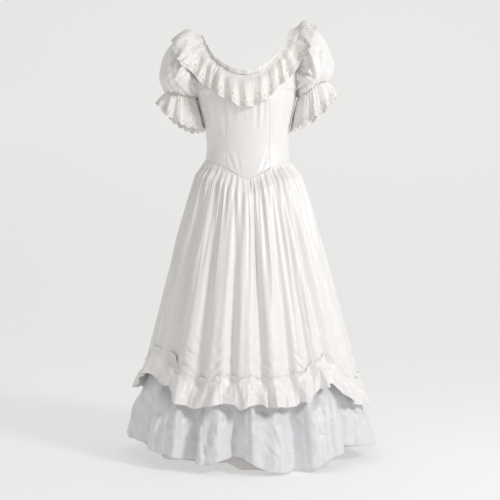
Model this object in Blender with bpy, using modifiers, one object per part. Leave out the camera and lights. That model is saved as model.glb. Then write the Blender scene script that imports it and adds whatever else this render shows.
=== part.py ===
"""Full-length wedding dress with puff sleeves, lace ruffles and a swagged overskirt.

Metres, +Z up. The front faces -Y. The origin is the middle of the neck at the height of the
shoulders, where the wearer holds the dress up. A drop is a distance below the shoulders, and a
turn is an angle around the body: 0 at the centre front, 90 at +X, 180 at the centre back.
"""

import math
from collections import namedtuple

import bpy
from mathutils import Vector
from mathutils.bvhtree import BVHTree

# Cloth
WALL = 0.0012
SEAM_GAP = 0.0005
LAYER_GAP = 0.0004
LAYER_CLEARANCE = 0.0045

# How the dress hangs: its middle line leans a little, and one shoulder sits higher
MIDDLE_X = -0.0035
MIDDLE_LEAN = 0.0115
MIDDLE_DROP = 0.694
SHOULDER_SLOPE = 0.070
SLOPE_STARTS = 0.42
SLOPE_FULL = 0.10

# Bodice
PRINCESS_X = 0.068
WAIST_DROP = 0.41
ARMHOLE_HEIGHT = 0.200
ARMHOLE_DEPTH = 0.058
CREST_HALF_GAP = 0.0010
BACK_NECK_SCALE = 0.93
PLACKET_END = 0.975
STRAP_ROWS = 4
BODICE_ROWS = 8
CENTRE_COLUMNS = 6
SIDE_COLUMNS = 6

Torso = namedtuple("Torso", "drop half_width front back taper")
TORSO = (
    Torso(0.000, 0.1650, 0.0010, 0.0010, 2.0),
    Torso(0.012, 0.1640, 0.0340, 0.0360, 2.0),
    Torso(0.030, 0.1620, 0.0520, 0.0560, 2.0),
    Torso(0.060, 0.1600, 0.0720, 0.0800, 2.0),
    Torso(0.100, 0.1580, 0.0940, 0.0980, 1.9),
    Torso(0.140, 0.1570, 0.1120, 0.1060, 1.7),
    Torso(0.170, 0.1570, 0.1210, 0.1070, 1.4),
    Torso(0.200, 0.1570, 0.1270, 0.1060, 1.0),
    Torso(0.240, 0.1500, 0.1280, 0.1010, 1.0),
    Torso(0.285, 0.1390, 0.1190, 0.0950, 1.0),
    Torso(0.330, 0.1320, 0.1070, 0.0900, 1.0),
    Torso(0.370, 0.1305, 0.1000, 0.0880, 1.0),
    Torso(0.410, 0.1365, 0.1010, 0.0920, 1.0),
    Torso(0.440, 0.1460, 0.1060, 0.0980, 1.0),
    Torso(0.480, 0.1600, 0.1140, 0.1060, 1.0),
)

Bust = namedtuple("Bust", "x drop rise spread_x spread_drop")
BUST = Bust(0.074, 0.222, 0.008, 0.042, 0.052)

Neck = namedtuple("Neck", "away half_width drop")
NECKLINE = (
    Neck(0, 0.1385, 0.000),
    Neck(12, 0.1290, 0.027),
    Neck(25, 0.1170, 0.058),
    Neck(42, 0.0970, 0.095),
    Neck(59, 0.0680, 0.126),
    Neck(76, 0.0340, 0.150),
    Neck(90, 0.0000, 0.158),
)

Basque = namedtuple("Basque", "turn drop")
BASQUE = (
    Basque(0, 0.480),
    Basque(8, 0.470),
    Basque(20, 0.453),
    Basque(32, 0.438),
    Basque(55, 0.421),
    Basque(90, 0.409),
    Basque(180, 0.400),
)

# Puff sleeves and their lace cuffs
PUFF_COLUMNS = 36
PUFF_ROWS = 6
PUFF_GATHERS = 12
PUFF_GATHER_RISE = 0.0030
PUFF_GATHER_LENGTH = 0.10
PUFF_GATHER_SHARES = (0.14, 0.86)
PUFF_CREASES = 4
PUFF_CREASE_RISE = 0.0060
PUFF_CREASE_TWIST = 150.0
CUFF_WAVES = 12
CUFF_COLUMNS = 4 * CUFF_WAVES
CUFF_RING = (0.047, 0.052)
CUFF_HEM_RING = (0.088, 0.082)
CUFF_ROWS = (0.0, 0.30, 0.65, 1.0)
CUFF_WAVE = 0.010
CUFF_SWELL = 0.010
CUFF_CLEARANCE = 0.002
CUFF_GAP = 0.0008

Sleeve = namedtuple("Sleeve", "name side cuff_x cuff_drop cuff_tilt hem_x hem_drop hem_tilt hem_sag")
SLEEVES = (
    Sleeve("left", -1, 0.2080, 0.190, 16, 0.2100, 0.262, 31, 0.034),
    Sleeve("right", 1, 0.2060, 0.192, 25, 0.2110, 0.270, 34, 0.016),
)

Puff = namedtuple("Puff", "turn head_out head_rise head_forth cuff_out cuff_rise cuff_forth")
PUFF = (
    Puff(0, 0.032, 0.038, 0.000, 0.062, 0.080, 0.000),
    Puff(45, 0.038, 0.032, 0.034, 0.052, 0.057, 0.052),
    Puff(90, 0.040, 0.014, 0.056, 0.034, 0.018, 0.070),
    Puff(135, 0.018, 0.000, 0.030, 0.012, 0.000, 0.030),
    Puff(180, 0.005, -0.003, 0.000, 0.000, 0.004, 0.000),
)

# Neck ruffle of lace, with its heading above the stitch line
NECK_WAVES = 28
NECK_COLUMNS = 4 * NECK_WAVES
NECK_FALL_LENGTH = 0.108
NECK_SEAM_TURN = 0.12
SHOULDER_HEART = (0.150, 0.110)
CHEST_HEART = 0.210
HEART_MOVES_UNTIL = 75.0
BRIDGE_PASSES = 4
HEADING_LEAN = 0.10
EVEN_AT = 0.3
REACH_BLEND = 40.0
SHOULDER_WAVE = 0.45

Fall = namedtuple("Fall", "away plan start end reach")
NECK_FALL = (
    Fall(0, 0, 4, 60, 0.74),
    Fall(14, 12, 18, 66, 0.80),
    Fall(28, 28, 44, 76, 0.92),
    Fall(55, 62, 70, 82, 1.00),
    Fall(90, 90, 74, 84, 1.00),
)
RIGHT_SHOULDER_REACH = 0.84

RuffleRow = namedtuple("RuffleRow", "fall lift wave")
NECK_RUFFLE_ROWS = (
    RuffleRow(-0.014, 0.0028, 0.0024),
    RuffleRow(0.005, 0.0025, 0.0002),
    RuffleRow(0.036, 0.0115, 0.0040),
    RuffleRow(0.072, 0.0065, 0.0080),
    RuffleRow(0.108, 0.0055, 0.0105),
)

# Skirt
Ring = namedtuple("Ring", "drop half_width front back")
SKIRT = (
    Ring(0.400, 0.1420, 0.104, 0.098),
    Ring(0.440, 0.1560, 0.117, 0.112),
    Ring(0.480, 0.1700, 0.128, 0.124),
    Ring(0.534, 0.1850, 0.144, 0.140),
    Ring(0.605, 0.2030, 0.162, 0.158),
    Ring(0.701, 0.2285, 0.186, 0.183),
    Ring(0.797, 0.2540, 0.209, 0.207),
    Ring(0.893, 0.2800, 0.233, 0.231),
    Ring(0.989, 0.3045, 0.254, 0.252),
    Ring(1.085, 0.3290, 0.274, 0.272),
    Ring(1.190, 0.3550, 0.294, 0.292),
    Ring(1.300, 0.3790, 0.310, 0.308),
)
SKIRT_SEAMS = (-90.0, 90.0, 180.0)
SEAM_RADIUS = 0.12
COLUMN_CLEARANCE = 1.4
SKIRT_BLEND = 0.05
WAIST_LAP = 0.002
GATHER_RISE = 0.0030
GATHER_LENGTH = 0.13
FOLD_STARTS = 0.02
FOLD_OPENS = 0.22
FOLD_FULL = 0.62

Fold = namedtuple("Fold", "ridge valley rise")
FRONT_FOLDS = (
    Fold(-84.0, -75.0, 0.007),
    Fold(-66.0, -47.0, 0.011),
    Fold(-37.0, -28.0, 0.012),
    Fold(-17.0, -10.0, 0.010),
    Fold(-3.0, 6.0, 0.009),
    Fold(12.0, 21.0, 0.012),
    Fold(27.0, 33.0, 0.008),
    Fold(38.5, 45.0, 0.012),
    Fold(55.0, 63.0, 0.010),
    Fold(72.0, 81.0, 0.009),
)
BACK_FOLD_COUNT = 14
BACK_FOLDS_START = 92.0
BACK_FOLDS_END = 276.0

FLOUNCE_FRONT_FOLDS = (
    Fold(-96.0, -62.0, 0.012),
    Fold(-40.0, -27.0, 0.018),
    Fold(-19.0, -8.0, 0.017),
    Fold(6.0, 20.0, 0.016),
    Fold(34.0, 52.0, 0.020),
    Fold(73.0, 90.0, 0.013),
)
FLOUNCE_RISE = 0.020
FLOUNCE_FOLDS_START = 1.06
FLOUNCE_FOLDS_OPEN = 0.15
FLOUNCE_BACK_FOLD_COUNT = 6
FLOUNCE_BACK_START = 106.0
FLOUNCE_BACK_END = 264.0

Swag = namedtuple("Swag", "turn drop")
SWAG = (
    Swag(-180, 1.092),
    Swag(-155, 1.080),
    Swag(-130, 1.008),
    Swag(-105, 1.064),
    Swag(-88, 1.060),
    Swag(-66, 1.004),
    Swag(-48, 1.024),
    Swag(-38, 1.066),
    Swag(-28, 1.086),
    Swag(-10, 1.077),
    Swag(10, 1.081),
    Swag(26, 1.070),
    Swag(44, 1.024),
    Swag(58, 1.084),
    Swag(75, 1.106),
    Swag(90, 1.100),
    Swag(110, 1.080),
    Swag(132, 1.010),
    Swag(155, 1.080),
    Swag(180, 1.092),
)

OVERSKIRT_ROWS = (0.0, 0.05, 0.13, 0.28, 0.55, 0.86, 1.0)
HEM_RUFFLE_ROWS = (
    RuffleRow(-0.016, 0.0050, 0.0022),
    RuffleRow(-0.003, 0.0020, 0.0000),
    RuffleRow(0.030, 0.0070, 0.0036),
    RuffleRow(0.066, 0.0095, 0.0066),
)
HEM_RUFFLE_OVAL = (0.33, 0.27)

FLOUNCE_TOP = 0.985
FLOUNCE_INSET = 0.020
FLOUNCE_OUT_DROP = 1.185
FLOUNCE_ROUNDING = 0.45
FLOUNCE_TOP_FOLDS = 0.05
FLOUNCE_UNDER_RUFFLE_LIFT = 0.007
FLOUNCE_CLEAR_BELOW = 0.0165
FLOUNCE_CLEAR_LENGTH = 0.025
FLOUNCE_ROWS = (0.0, 0.30, 0.60, 0.82, 1.0)

HemRow = namedtuple("HemRow", "turn flounce underskirt")
HEMS = (
    HemRow(-180, 1.298, 1.312),
    HemRow(-110, 1.286, 1.296),
    HemRow(-90, 1.280, 1.289),
    HemRow(-50, 1.286, 1.299),
    HemRow(-38, 1.293, 1.312),
    HemRow(-19, 1.310, 1.315),
    HemRow(-12, 1.296, 1.312),
    HemRow(-4, 1.290, 1.332),
    HemRow(6, 1.320, 1.328),
    HemRow(18, 1.333, 1.334),
    HemRow(26, 1.328, 1.329),
    HemRow(36, 1.300, 1.304),
    HemRow(50, 1.282, 1.288),
    HemRow(73, 1.293, 1.298),
    HemRow(90, 1.288, 1.296),
    HemRow(180, 1.298, 1.312),
)

UNDERSKIRT_LAP = 0.001
UNDERSKIRT_SEAM_INSET = 0.0027
UNDERSKIRT_TOP_INSET = 0.014
UNDERSKIRT_FULL_INSET = 0.034
UNDERSKIRT_INSET_STARTS = 0.50
UNDERSKIRT_INSET_LENGTH = 0.40
UNDERSKIRT_HEM_INSET = 0.0024
UNDERSKIRT_FOLLOWS_LENGTH = 0.25
UNDERSKIRT_NEIGHBOURS = (-5.0, -2.5, 0.0, 2.5, 5.0)
UNDERSKIRT_ROWS = (0.0, 0.16, 0.42, 0.635, 0.80, 1.0)

SATIN = (0.90, 0.885, 0.855)
TAFFETA = (0.86, 0.87, 0.90)
LACE = (0.86, 0.83, 0.78)
UNDERCLOTH = (0.80, 0.79, 0.79)


def blend(low, high, amount):
    return low + (high - low) * amount


def smooth_step(amount):
    amount = min(1.0, max(0.0, amount))
    return amount * amount * (3.0 - 2.0 * amount)


def read(rows, key, column, at):
    """Read a column at a key, on a smooth curve through the table's rows."""
    keys = [getattr(row, key) for row in rows]
    values = [getattr(row, column) for row in rows]
    if at <= keys[0]:
        return values[0]
    if at >= keys[-1]:
        return values[-1]
    i = max(n for n in range(len(keys) - 1) if keys[n] <= at)
    span = keys[i + 1] - keys[i]
    slope = (values[i + 1] - values[i]) / span

    def tangent(n):
        if n == 0 or n == len(keys) - 1:
            return slope
        before = (values[n] - values[n - 1]) / (keys[n] - keys[n - 1])
        after = (values[n + 1] - values[n]) / (keys[n + 1] - keys[n])
        return 0.0 if before * after <= 0.0 else 2.0 * before * after / (before + after)

    t = (at - keys[i]) / span
    start = values[i] * (2 * t**3 - 3 * t**2 + 1) + tangent(i) * span * (t**3 - 2 * t**2 + t)
    end = values[i + 1] * (3 * t**2 - 2 * t**3) + tangent(i + 1) * span * (t**3 - t**2)
    return start + end


def solve(function, target, low, high):
    """Find where a steadily rising or falling function meets a target."""
    rising = function(high) > function(low)
    for _ in range(40):
        middle = 0.5 * (low + high)
        if (function(middle) < target) == rising:
            low = middle
        else:
            high = middle
    return 0.5 * (low + high)


def wrap(turn):
    return (turn + 180.0) % 360.0 - 180.0


def as_hung(point):
    """Lean the middle line and slope the shoulders, as the dress hangs."""
    drop = -point.z
    x = point.x + MIDDLE_X + MIDDLE_LEAN * (drop - MIDDLE_DROP)
    slope = SHOULDER_SLOPE * smooth_step((SLOPE_STARTS - drop) / (SLOPE_STARTS - SLOPE_FULL))
    return Vector((x, point.y, point.z + slope * point.x))


def material(name, color, roughness):
    made = bpy.data.materials.new(name)
    made.use_nodes = True
    shader = made.node_tree.nodes["Principled BSDF"]
    shader.inputs["Base Color"].default_value = (*color, 1.0)
    shader.inputs["Roughness"].default_value = roughness
    return made


def cloth(name, rows, look, closed=False):
    """Make one sewn piece from rows of outer points, thickened inwards to its wall."""
    columns = len(rows[0])
    points = [as_hung(point) for row in rows for point in row]
    faces = []
    for i in range(len(rows) - 1):
        for j in range(columns if closed else columns - 1):
            k = (j + 1) % columns
            faces.append((i * columns + j, (i + 1) * columns + j,
                          (i + 1) * columns + k, i * columns + k))
    mesh = bpy.data.meshes.new(name)
    mesh.from_pydata(points, [], faces)
    mesh.update()
    mesh.materials.append(look)
    mesh.shade_smooth()
    piece = bpy.data.objects.new(name, mesh)
    bpy.data.collections["wedding_dress"].objects.link(piece)
    wall = piece.modifiers.new("wall", "SOLIDIFY")
    wall.thickness = WALL
    wall.offset = -1.0
    wall.use_rim = True
    return piece


# Bodice


def armhole_edge(drop):
    """Half the armhole's width from front to back at a drop."""
    half = ARMHOLE_HEIGHT / 2
    inside = 1.0 - ((drop - half) / half) ** 2
    return max(CREST_HALF_GAP if drop < half else 0.0, ARMHOLE_DEPTH * math.sqrt(max(0.0, inside)))


def torso(side, around, drop, face):
    """Point of the bodice: around is 0 at the centre line and 90 at the side, face -1 in front."""
    half_width = read(TORSO, "drop", "half_width", drop)
    depth = read(TORSO, "drop", "front" if face < 0 else "back", drop)
    taper = read(TORSO, "drop", "taper", drop)
    edge = min(depth, armhole_edge(drop)) if drop < ARMHOLE_HEIGHT else 0.0
    x = half_width * math.sin(math.radians(around))
    y = edge + (depth - edge) * max(0.0, math.cos(math.radians(around))) ** taper
    if face < 0:
        across = ((abs(x) - BUST.x) / BUST.spread_x) ** 2 + ((drop - BUST.drop) / BUST.spread_drop) ** 2
        y += BUST.rise * math.exp(-across) * math.cos(math.radians(around))
    return Vector((side * x, face * y, -drop))


def around_at(x, drop):
    """Angle around the bodice at a distance from the centre line."""
    half_width = read(TORSO, "drop", "half_width", drop)
    return math.degrees(math.asin(min(1.0, max(-1.0, x / half_width))))


def neck_drop(away, face):
    return read(NECKLINE, "away", "drop", away) * (1.0 if face < 0 else BACK_NECK_SCALE)


def neck_half_width(drop, face):
    """Half the neckline's width at a drop, or the princess seam below it."""
    if drop >= neck_drop(59, face):
        return PRINCESS_X
    away = solve(lambda at: neck_drop(at, face), drop, 0.0, 59.0)
    return read(NECKLINE, "away", "half_width", away)


def neck_drop_at(x, face):
    away = solve(lambda at: read(NECKLINE, "away", "half_width", at), abs(x), 0.0, 90.0)
    return neck_drop(away, face)


def basque(around, face):
    """Drop of the pointed waist seam."""
    return read(BASQUE, "turn", "drop", around if face < 0 else 180.0 - around)


def centre_panel(name, low, high, face, look, columns=CENTRE_COLUMNS):
    """Panel between two distances from the centre line, from the neckline to the waist."""
    rows = []
    for i in range(BODICE_ROWS + 1):
        row = []
        for j in range(columns + 1):
            x = blend(low, high, j / columns)
            top = neck_drop_at(x, face)
            bottom = basque(abs(around_at(x, WAIST_DROP)), face) - SEAM_GAP / 2
            drop = blend(top, bottom, i / BODICE_ROWS)
            row.append(torso(1, around_at(x, drop), drop, face))
        rows.append(row if face < 0 else row[::-1])
    return cloth(name, rows, look)


def side_panel(name, side, face, look):
    """Panel from the princess seam to the side seam, with its half of the shoulder strap."""
    rows = []
    strap_end = neck_drop(59, face)
    for i in range(STRAP_ROWS + BODICE_ROWS + 1):
        row = []
        for j in range(SIDE_COLUMNS + 1):
            share = j / SIDE_COLUMNS
            seam = blend(around_at(PRINCESS_X, WAIST_DROP), 90.0, share)
            bottom = basque(seam, face) - SEAM_GAP / 2
            drop = strap_end * (i / STRAP_ROWS) ** 1.4
            if i > STRAP_ROWS:
                drop = blend(strap_end, bottom, (i - STRAP_ROWS) / BODICE_ROWS)
            near = around_at(neck_half_width(drop, face) + SEAM_GAP / 2, drop)
            depth = read(TORSO, "drop", "front" if face < 0 else "back", drop)
            far = 90.0 - math.degrees(SEAM_GAP / 2 / max(depth, 0.03))
            row.append(torso(side, blend(near, far, share), drop, face))
        rows.append(row if side * face < 0 else row[::-1])
    return cloth(name, rows, look)


def placket(look):
    """Lapped strip that covers the closed opening down the centre back."""
    column = PRINCESS_X / CENTRE_COLUMNS
    rows = []
    for i in range(1, BODICE_ROWS + 1):
        share = min(i / BODICE_ROWS, PLACKET_END)
        row = []
        for x in (column, 0.0, -column):
            bottom = basque(abs(around_at(x, WAIST_DROP)), 1)
            drop = blend(neck_drop_at(x, 1), bottom, share)
            point = torso(1, around_at(x, drop), drop, 1)
            row.append(point + Vector((0.0, WALL + LAYER_GAP, 0.0)))
        rows.append(row)
    return cloth("back_placket", rows, look)


def make_bodice(look):
    half = SEAM_GAP / 2
    edge = PRINCESS_X - half
    pieces = [centre_panel("bodice_centre_front", -edge, edge, -1, look, 2 * CENTRE_COLUMNS)]
    pieces.append(centre_panel("bodice_back_left", -edge, -half, 1, look))
    pieces.append(centre_panel("bodice_back_right", half, edge, 1, look))
    for side, name in ((-1, "left"), (1, "right")):
        pieces.append(side_panel("bodice_side_front_" + name, side, -1, look))
        pieces.append(side_panel("bodice_side_back_" + name, side, 1, look))
    pieces.append(placket(look))
    return pieces


# Sleeves


def armhole(side, turn):
    """Point of the armhole: turn is 0 at the shoulder, 90 in front, 180 under the arm."""
    drop = ARMHOLE_HEIGHT / 2 * (1.0 - math.cos(math.radians(turn)))
    out = read(TORSO, "drop", "half_width", drop) + SEAM_GAP
    forth = ARMHOLE_DEPTH * math.sin(math.radians(turn))
    return Vector((side * out, -forth, -drop))


def sleeve_ring(side, turn, x, drop, tilt, radii):
    """Point of a tilted ring around the arm, turn 0 at its outer end."""
    out = radii[0] * math.cos(math.radians(turn))
    forth = radii[1] * math.sin(math.radians(turn))
    lean = math.radians(tilt)
    return Vector((side * (x + out * math.cos(lean)), -forth, -drop + out * math.sin(lean)))


def puff(sleeve, turn, share):
    """Point of a puff sleeve, from the armhole to the cuff, before its gathers."""
    folded = abs(wrap(turn))
    front = 1.0 if wrap(turn) >= 0.0 else -1.0
    head = armhole(sleeve.side, turn)
    cuff = sleeve_ring(sleeve.side, turn, sleeve.cuff_x, sleeve.cuff_drop,
                       sleeve.cuff_tilt, CUFF_RING)

    def reach(end):
        out = read(PUFF, "turn", end + "_out", folded) * sleeve.side
        forth = -front * read(PUFF, "turn", end + "_forth", folded)
        return Vector((out, forth, read(PUFF, "turn", end + "_rise", folded)))

    near = head + reach("head")
    far = cuff + reach("cuff")
    left = 1.0 - share
    return (head * left**3 + near * 3 * left**2 * share
            + far * 3 * left * share**2 + cuff * share**3)


def outward(surface, u, v, step_u, step_v):
    """Unit normal of a surface, on the side that the cloth's outer face looks to."""
    along = surface(u + step_u, v) - surface(u - step_u, v)
    down = surface(u, v + step_v) - surface(u, v - step_v)
    return down.cross(along).normalized()


def puff_gather(turn, share):
    """Height of the gathers at a puff's two ends and of its broad creases."""
    top = max(0.0, 0.5 + 0.6 * math.cos(math.radians(turn)))
    gathers = 0.0
    for end in PUFF_GATHER_SHARES:
        gathers += math.exp(-((share - end) / PUFF_GATHER_LENGTH) ** 2)
    gathers *= PUFF_GATHER_RISE * math.cos(math.radians(turn * PUFF_GATHERS))
    crease = math.sin(math.radians(turn * PUFF_CREASES + PUFF_CREASE_TWIST * share))
    crease *= PUFF_CREASE_RISE * math.sin(math.pi * share)
    return top * (gathers + crease)


def make_sleeve(sleeve, look):
    rows = []
    for i in range(PUFF_ROWS + 1):
        share = i / PUFF_ROWS
        row = []
        for j in range(PUFF_COLUMNS):
            turn = -sleeve.side * j * 360.0 / PUFF_COLUMNS
            inside = min(0.96, max(0.04, share))
            normal = outward(lambda u, v: puff(sleeve, u, v), turn, inside, 1.0, 0.02)
            normal *= -sleeve.side
            point = puff(sleeve, turn, share)
            row.append(point + normal * puff_gather(turn, share))
        rows.append(row)
    return cloth("puff_sleeve_" + sleeve.name, rows, look, closed=True)


def cuff_ruffle(sleeve, turn, share):
    """Point of a lace cuff, which flares from the puff's gathered end."""
    start = sleeve_ring(sleeve.side, turn, sleeve.cuff_x, sleeve.cuff_drop + CUFF_GAP,
                        sleeve.cuff_tilt, CUFF_RING)
    end = sleeve_ring(sleeve.side, turn, sleeve.hem_x, sleeve.hem_drop,
                      sleeve.hem_tilt, CUFF_HEM_RING)
    swell = CUFF_SWELL * math.sin(math.pi * share)
    sag = sleeve.hem_sag * math.sin(math.radians(turn)) ** 2 * share
    return start.lerp(end, share) + Vector((0.0, 0.0, swell - sag))


def make_cuff(sleeve, look, under):
    rows = []
    for share in CUFF_ROWS:
        row = []
        for j in range(CUFF_COLUMNS):
            turn = -sleeve.side * j * 360.0 / CUFF_COLUMNS
            inside = min(0.96, max(0.04, share))
            normal = outward(lambda u, v: cuff_ruffle(sleeve, u, v), turn, inside, 1.0, 0.02)
            normal *= -sleeve.side
            phase = 2.0 * math.pi * j * CUFF_WAVES / CUFF_COLUMNS
            free = 0.55 + 0.45 * math.cos(math.radians(turn))
            wave = CUFF_WAVE * share ** 1.2 * math.cos(phase) * free
            point = cuff_ruffle(sleeve, turn, share) + normal * wave
            row.append(keep_outside(point, under, CUFF_CLEARANCE) if share > 0.0 else point)
        rows.append(row)
    return cloth("cuff_ruffle_" + sleeve.name, rows, look, closed=True)


# Neck ruffle


def tree_of(pieces):
    """Search tree of the outer faces of pieces as they hang."""
    points = []
    faces = []
    for piece in pieces:
        start = len(points)
        points.extend(vertex.co.copy() for vertex in piece.data.vertices)
        for face in piece.data.polygons:
            faces.append(tuple(start + index for index in face.vertices))
    return BVHTree.FromPolygons(points, faces)


def unhung(point):
    """The place before the lean of a point that already hangs."""
    free = point.copy()
    for _ in range(6):
        free += point - as_hung(free)
    return free


def keep_outside(point, tree, clearance):
    """Move a point out until it clears the outer faces below it."""
    hung = as_hung(point)
    for _ in range(4):
        near, normal, _, distance = tree.find_nearest(hung)
        height = (hung - near).dot(normal)
        if height >= clearance or distance > 0.06:
            break
        hung = hung + normal * (clearance - height)
    return unhung(hung)


def neckline(turn):
    """Point of the neckline, and the way that cloth falls from it in plan."""
    turn = wrap(turn)
    face = -1 if abs(turn) < 90.0 else 1
    side = 1 if turn >= 0.0 else -1
    away = abs(90.0 - abs(turn))
    x = read(NECKLINE, "away", "half_width", away)
    drop = neck_drop(away, face)
    point = torso(side, around_at(x, drop), drop, face)
    plan = math.radians(read(NECK_FALL, "away", "plan", away))
    return point, Vector((side * math.cos(plan), face * math.sin(plan), 0.0)), away


def neck_fall(turn, fall):
    """Point of the neck ruffle's middle surface, a distance below the neckline."""
    point, out, away = neckline(turn)
    start = read(NECK_FALL, "away", "start", away)
    end = read(NECK_FALL, "away", "end", away)
    if fall < 0.0:
        return point + (out * HEADING_LEAN + Vector((0.0, 0.0, 1.0))) * -fall
    pitch = math.radians(blend(start, end, 0.5 * fall / NECK_FALL_LENGTH))
    reach = read(NECK_FALL, "away", "reach", away)
    if out.x > 0.0:
        reach *= blend(RIGHT_SHOULDER_REACH, 1.0, smooth_step(away / REACH_BLEND))
    fall *= blend(1.0, reach, smooth_step(fall / NECK_FALL_LENGTH))
    return point + (out * math.cos(pitch) - Vector((0.0, 0.0, math.sin(pitch)))) * fall


def even_turns(first, last, count):
    """Turns of columns that are evenly spaced a part of the way down the ruffle."""
    fine = 12 * count
    turns = [blend(first, last, k / fine) for k in range(fine + 1)]
    points = [neck_fall(turn, EVEN_AT * NECK_FALL_LENGTH) for turn in turns]
    lengths = [0.0]
    for near, far in zip(points, points[1:]):
        lengths.append(lengths[-1] + (far - near).length)
    even = []
    for k in range(count + 1):
        target = lengths[-1] * k / count
        even.append(turns[min(range(fine + 1), key=lambda n: abs(lengths[n] - target))])
    return even


def heart(turn):
    """Point inside the dress from which the neck ruffle's rows are pushed out."""
    side = 1.0 if wrap(turn) >= 0.0 else -1.0
    away = neckline(turn)[2]
    near = 1.0 - smooth_step(away / HEART_MOVES_UNTIL)
    drop = blend(CHEST_HEART, SHOULDER_HEART[1], near)
    return Vector((side * SHOULDER_HEART[0] * near, 0.0, -drop))


def keep_over(point, centre, tree, lift):
    """Move a point out along its line from a centre until it clears all that it crosses."""
    start = as_hung(centre)
    way = as_hung(point) - start
    reach = way.length
    way.normalize()
    place = start
    while True:
        hit = tree.ray_cast(place, way, 0.4)[0]
        if hit is None:
            break
        reach = max(reach, (hit - start).length + lift)
        place = hit + way * 0.0001
    return unhung(start + way * reach)


def rest_on(row, turns, lift, under):
    """Lay a row over what is below it, bridging the hollows."""
    row = [keep_over(point, heart(turn), under, lift) for point, turn in zip(row, turns)]
    for _ in range(BRIDGE_PASSES if lift > 0.003 else 0):
        middle = [(row[j - 1] + row[j] * 2 + row[j + 1]) / 4 for j in range(1, len(row) - 1)]
        row = [row[0]] + middle + [row[-1]]
    return [keep_over(point, heart(turn), under, lift) for point, turn in zip(row, turns)]


def make_neck_ruffle(name, first, last, look, under):
    turns = even_turns(first + NECK_SEAM_TURN, last - NECK_SEAM_TURN, NECK_COLUMNS // 2)
    rows = []
    for ruffle in NECK_RUFFLE_ROWS:
        waves = []
        for j, turn in enumerate(turns):
            calm = blend(SHOULDER_WAVE, 1.0, smooth_step(neckline(turn)[2] / REACH_BLEND))
            waves.append(ruffle.wave * calm * (1.0 + math.cos(2.0 * math.pi * j / 4)))
        row = [neck_fall(turn, ruffle.fall) for turn in turns]
        if ruffle.fall < 0.0:
            outs = [neckline(turn)[1] for turn in turns]
            waves = [ruffle.lift + wave for wave in waves]
        else:
            outs = [outward(neck_fall, turn, max(0.01, ruffle.fall), 1.0, 0.004)
                    for turn in turns]
            row = rest_on(row, turns, ruffle.lift, under)
        rows.append([point + out * wave for point, out, wave in zip(row, outs, waves)])
    return cloth(name, rows, look)


# Skirt


def back_folds(count, start, end, rise):
    """Folds across the back, unevenly spaced as in front."""
    folds = []
    pitch = (end - start) / count
    for k in range(count):
        ridge = start + pitch * (k + 0.16 * math.sin(2.3 * k))
        valley = start + pitch * (k + 0.5 + 0.10 * math.sin(1.7 * k + 1.0))
        folds.append(Fold(ridge, valley, rise * (1.0 + 0.25 * math.sin(3.1 * k))))
    return folds


OVERSKIRT_FOLDS = list(FRONT_FOLDS) + back_folds(
    BACK_FOLD_COUNT, BACK_FOLDS_START, BACK_FOLDS_END, 0.010)
FLOUNCE_FOLDS = list(FLOUNCE_FRONT_FOLDS) + back_folds(
    FLOUNCE_BACK_FOLD_COUNT, FLOUNCE_BACK_START, FLOUNCE_BACK_END, 0.014)


def fold_turns(folds):
    """Turns of all ridges and valleys in order, closed on the first ridge."""
    turns = []
    for fold in folds:
        turns.extend((fold.ridge, fold.valley))
    turns.append(folds[0].ridge + 360.0)
    return turns


def fold_phase(folds, turn):
    """Folds passed at a turn: a whole number on a ridge, a half in a valley."""
    turns = fold_turns(folds)
    turn = (turn - turns[0]) % 360.0 + turns[0]
    i = max(n for n in range(len(turns) - 1) if turns[n] <= turn)
    return 0.5 * (i + (turn - turns[i]) / (turns[i + 1] - turns[i]))


def fold_height(folds, turn):
    """Height of the folds at a turn, from their full rise to as much below."""
    phase = fold_phase(folds, turn)
    index = int(phase)
    share = phase - index
    rise = blend(folds[index].rise, folds[(index + 1) % len(folds)].rise, share)
    return rise * math.cos(2.0 * math.pi * phase)


def column_turns(folds):
    """Turns of the skirt's shared columns, four to a fold, with the seams among them."""
    turns = fold_turns(folds)
    columns = []
    for i in range(len(turns) - 1):
        columns.extend((turns[i], 0.5 * (turns[i] + turns[i + 1])))
    clear = [turn for turn in columns
             if all(abs(wrap(turn - seam)) > COLUMN_CLEARANCE for seam in SKIRT_SEAMS)]
    return clear + list(SKIRT_SEAMS)


COLUMNS = column_turns(OVERSKIRT_FOLDS)


def waist_seam(turn):
    return read(BASQUE, "turn", "drop", abs(wrap(turn)))


def seam_drop(turn):
    """Drop of the overskirt's swagged lower edge."""
    return read(SWAG, "turn", "drop", wrap(turn))


def ring_place(turn, half_width, depth, drop):
    """Point of an oval ring, and its outward direction in plan."""
    sine = math.sin(math.radians(turn))
    cosine = math.cos(math.radians(turn))
    normal = Vector((sine * depth, -cosine * half_width, 0.0)).normalized()
    return Vector((half_width * sine, -depth * cosine, -drop)), normal


def skirt(turn, drop, offset):
    """Point of a skirt layer, a distance out from the skirt's plain form."""
    depth_name = "front" if abs(wrap(turn)) < 90.0 else "back"
    wide = read(SKIRT, "drop", "half_width", drop)
    deep = read(SKIRT, "drop", depth_name, drop)
    seam = waist_seam(turn)
    share = smooth_step((drop - seam) / SKIRT_BLEND)
    wide = blend(read(TORSO, "drop", "half_width", seam), wide, share)
    deep = blend(read(TORSO, "drop", depth_name, seam), deep, share)
    point, normal = ring_place(turn, wide, deep, drop)
    return point + normal * offset


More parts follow.
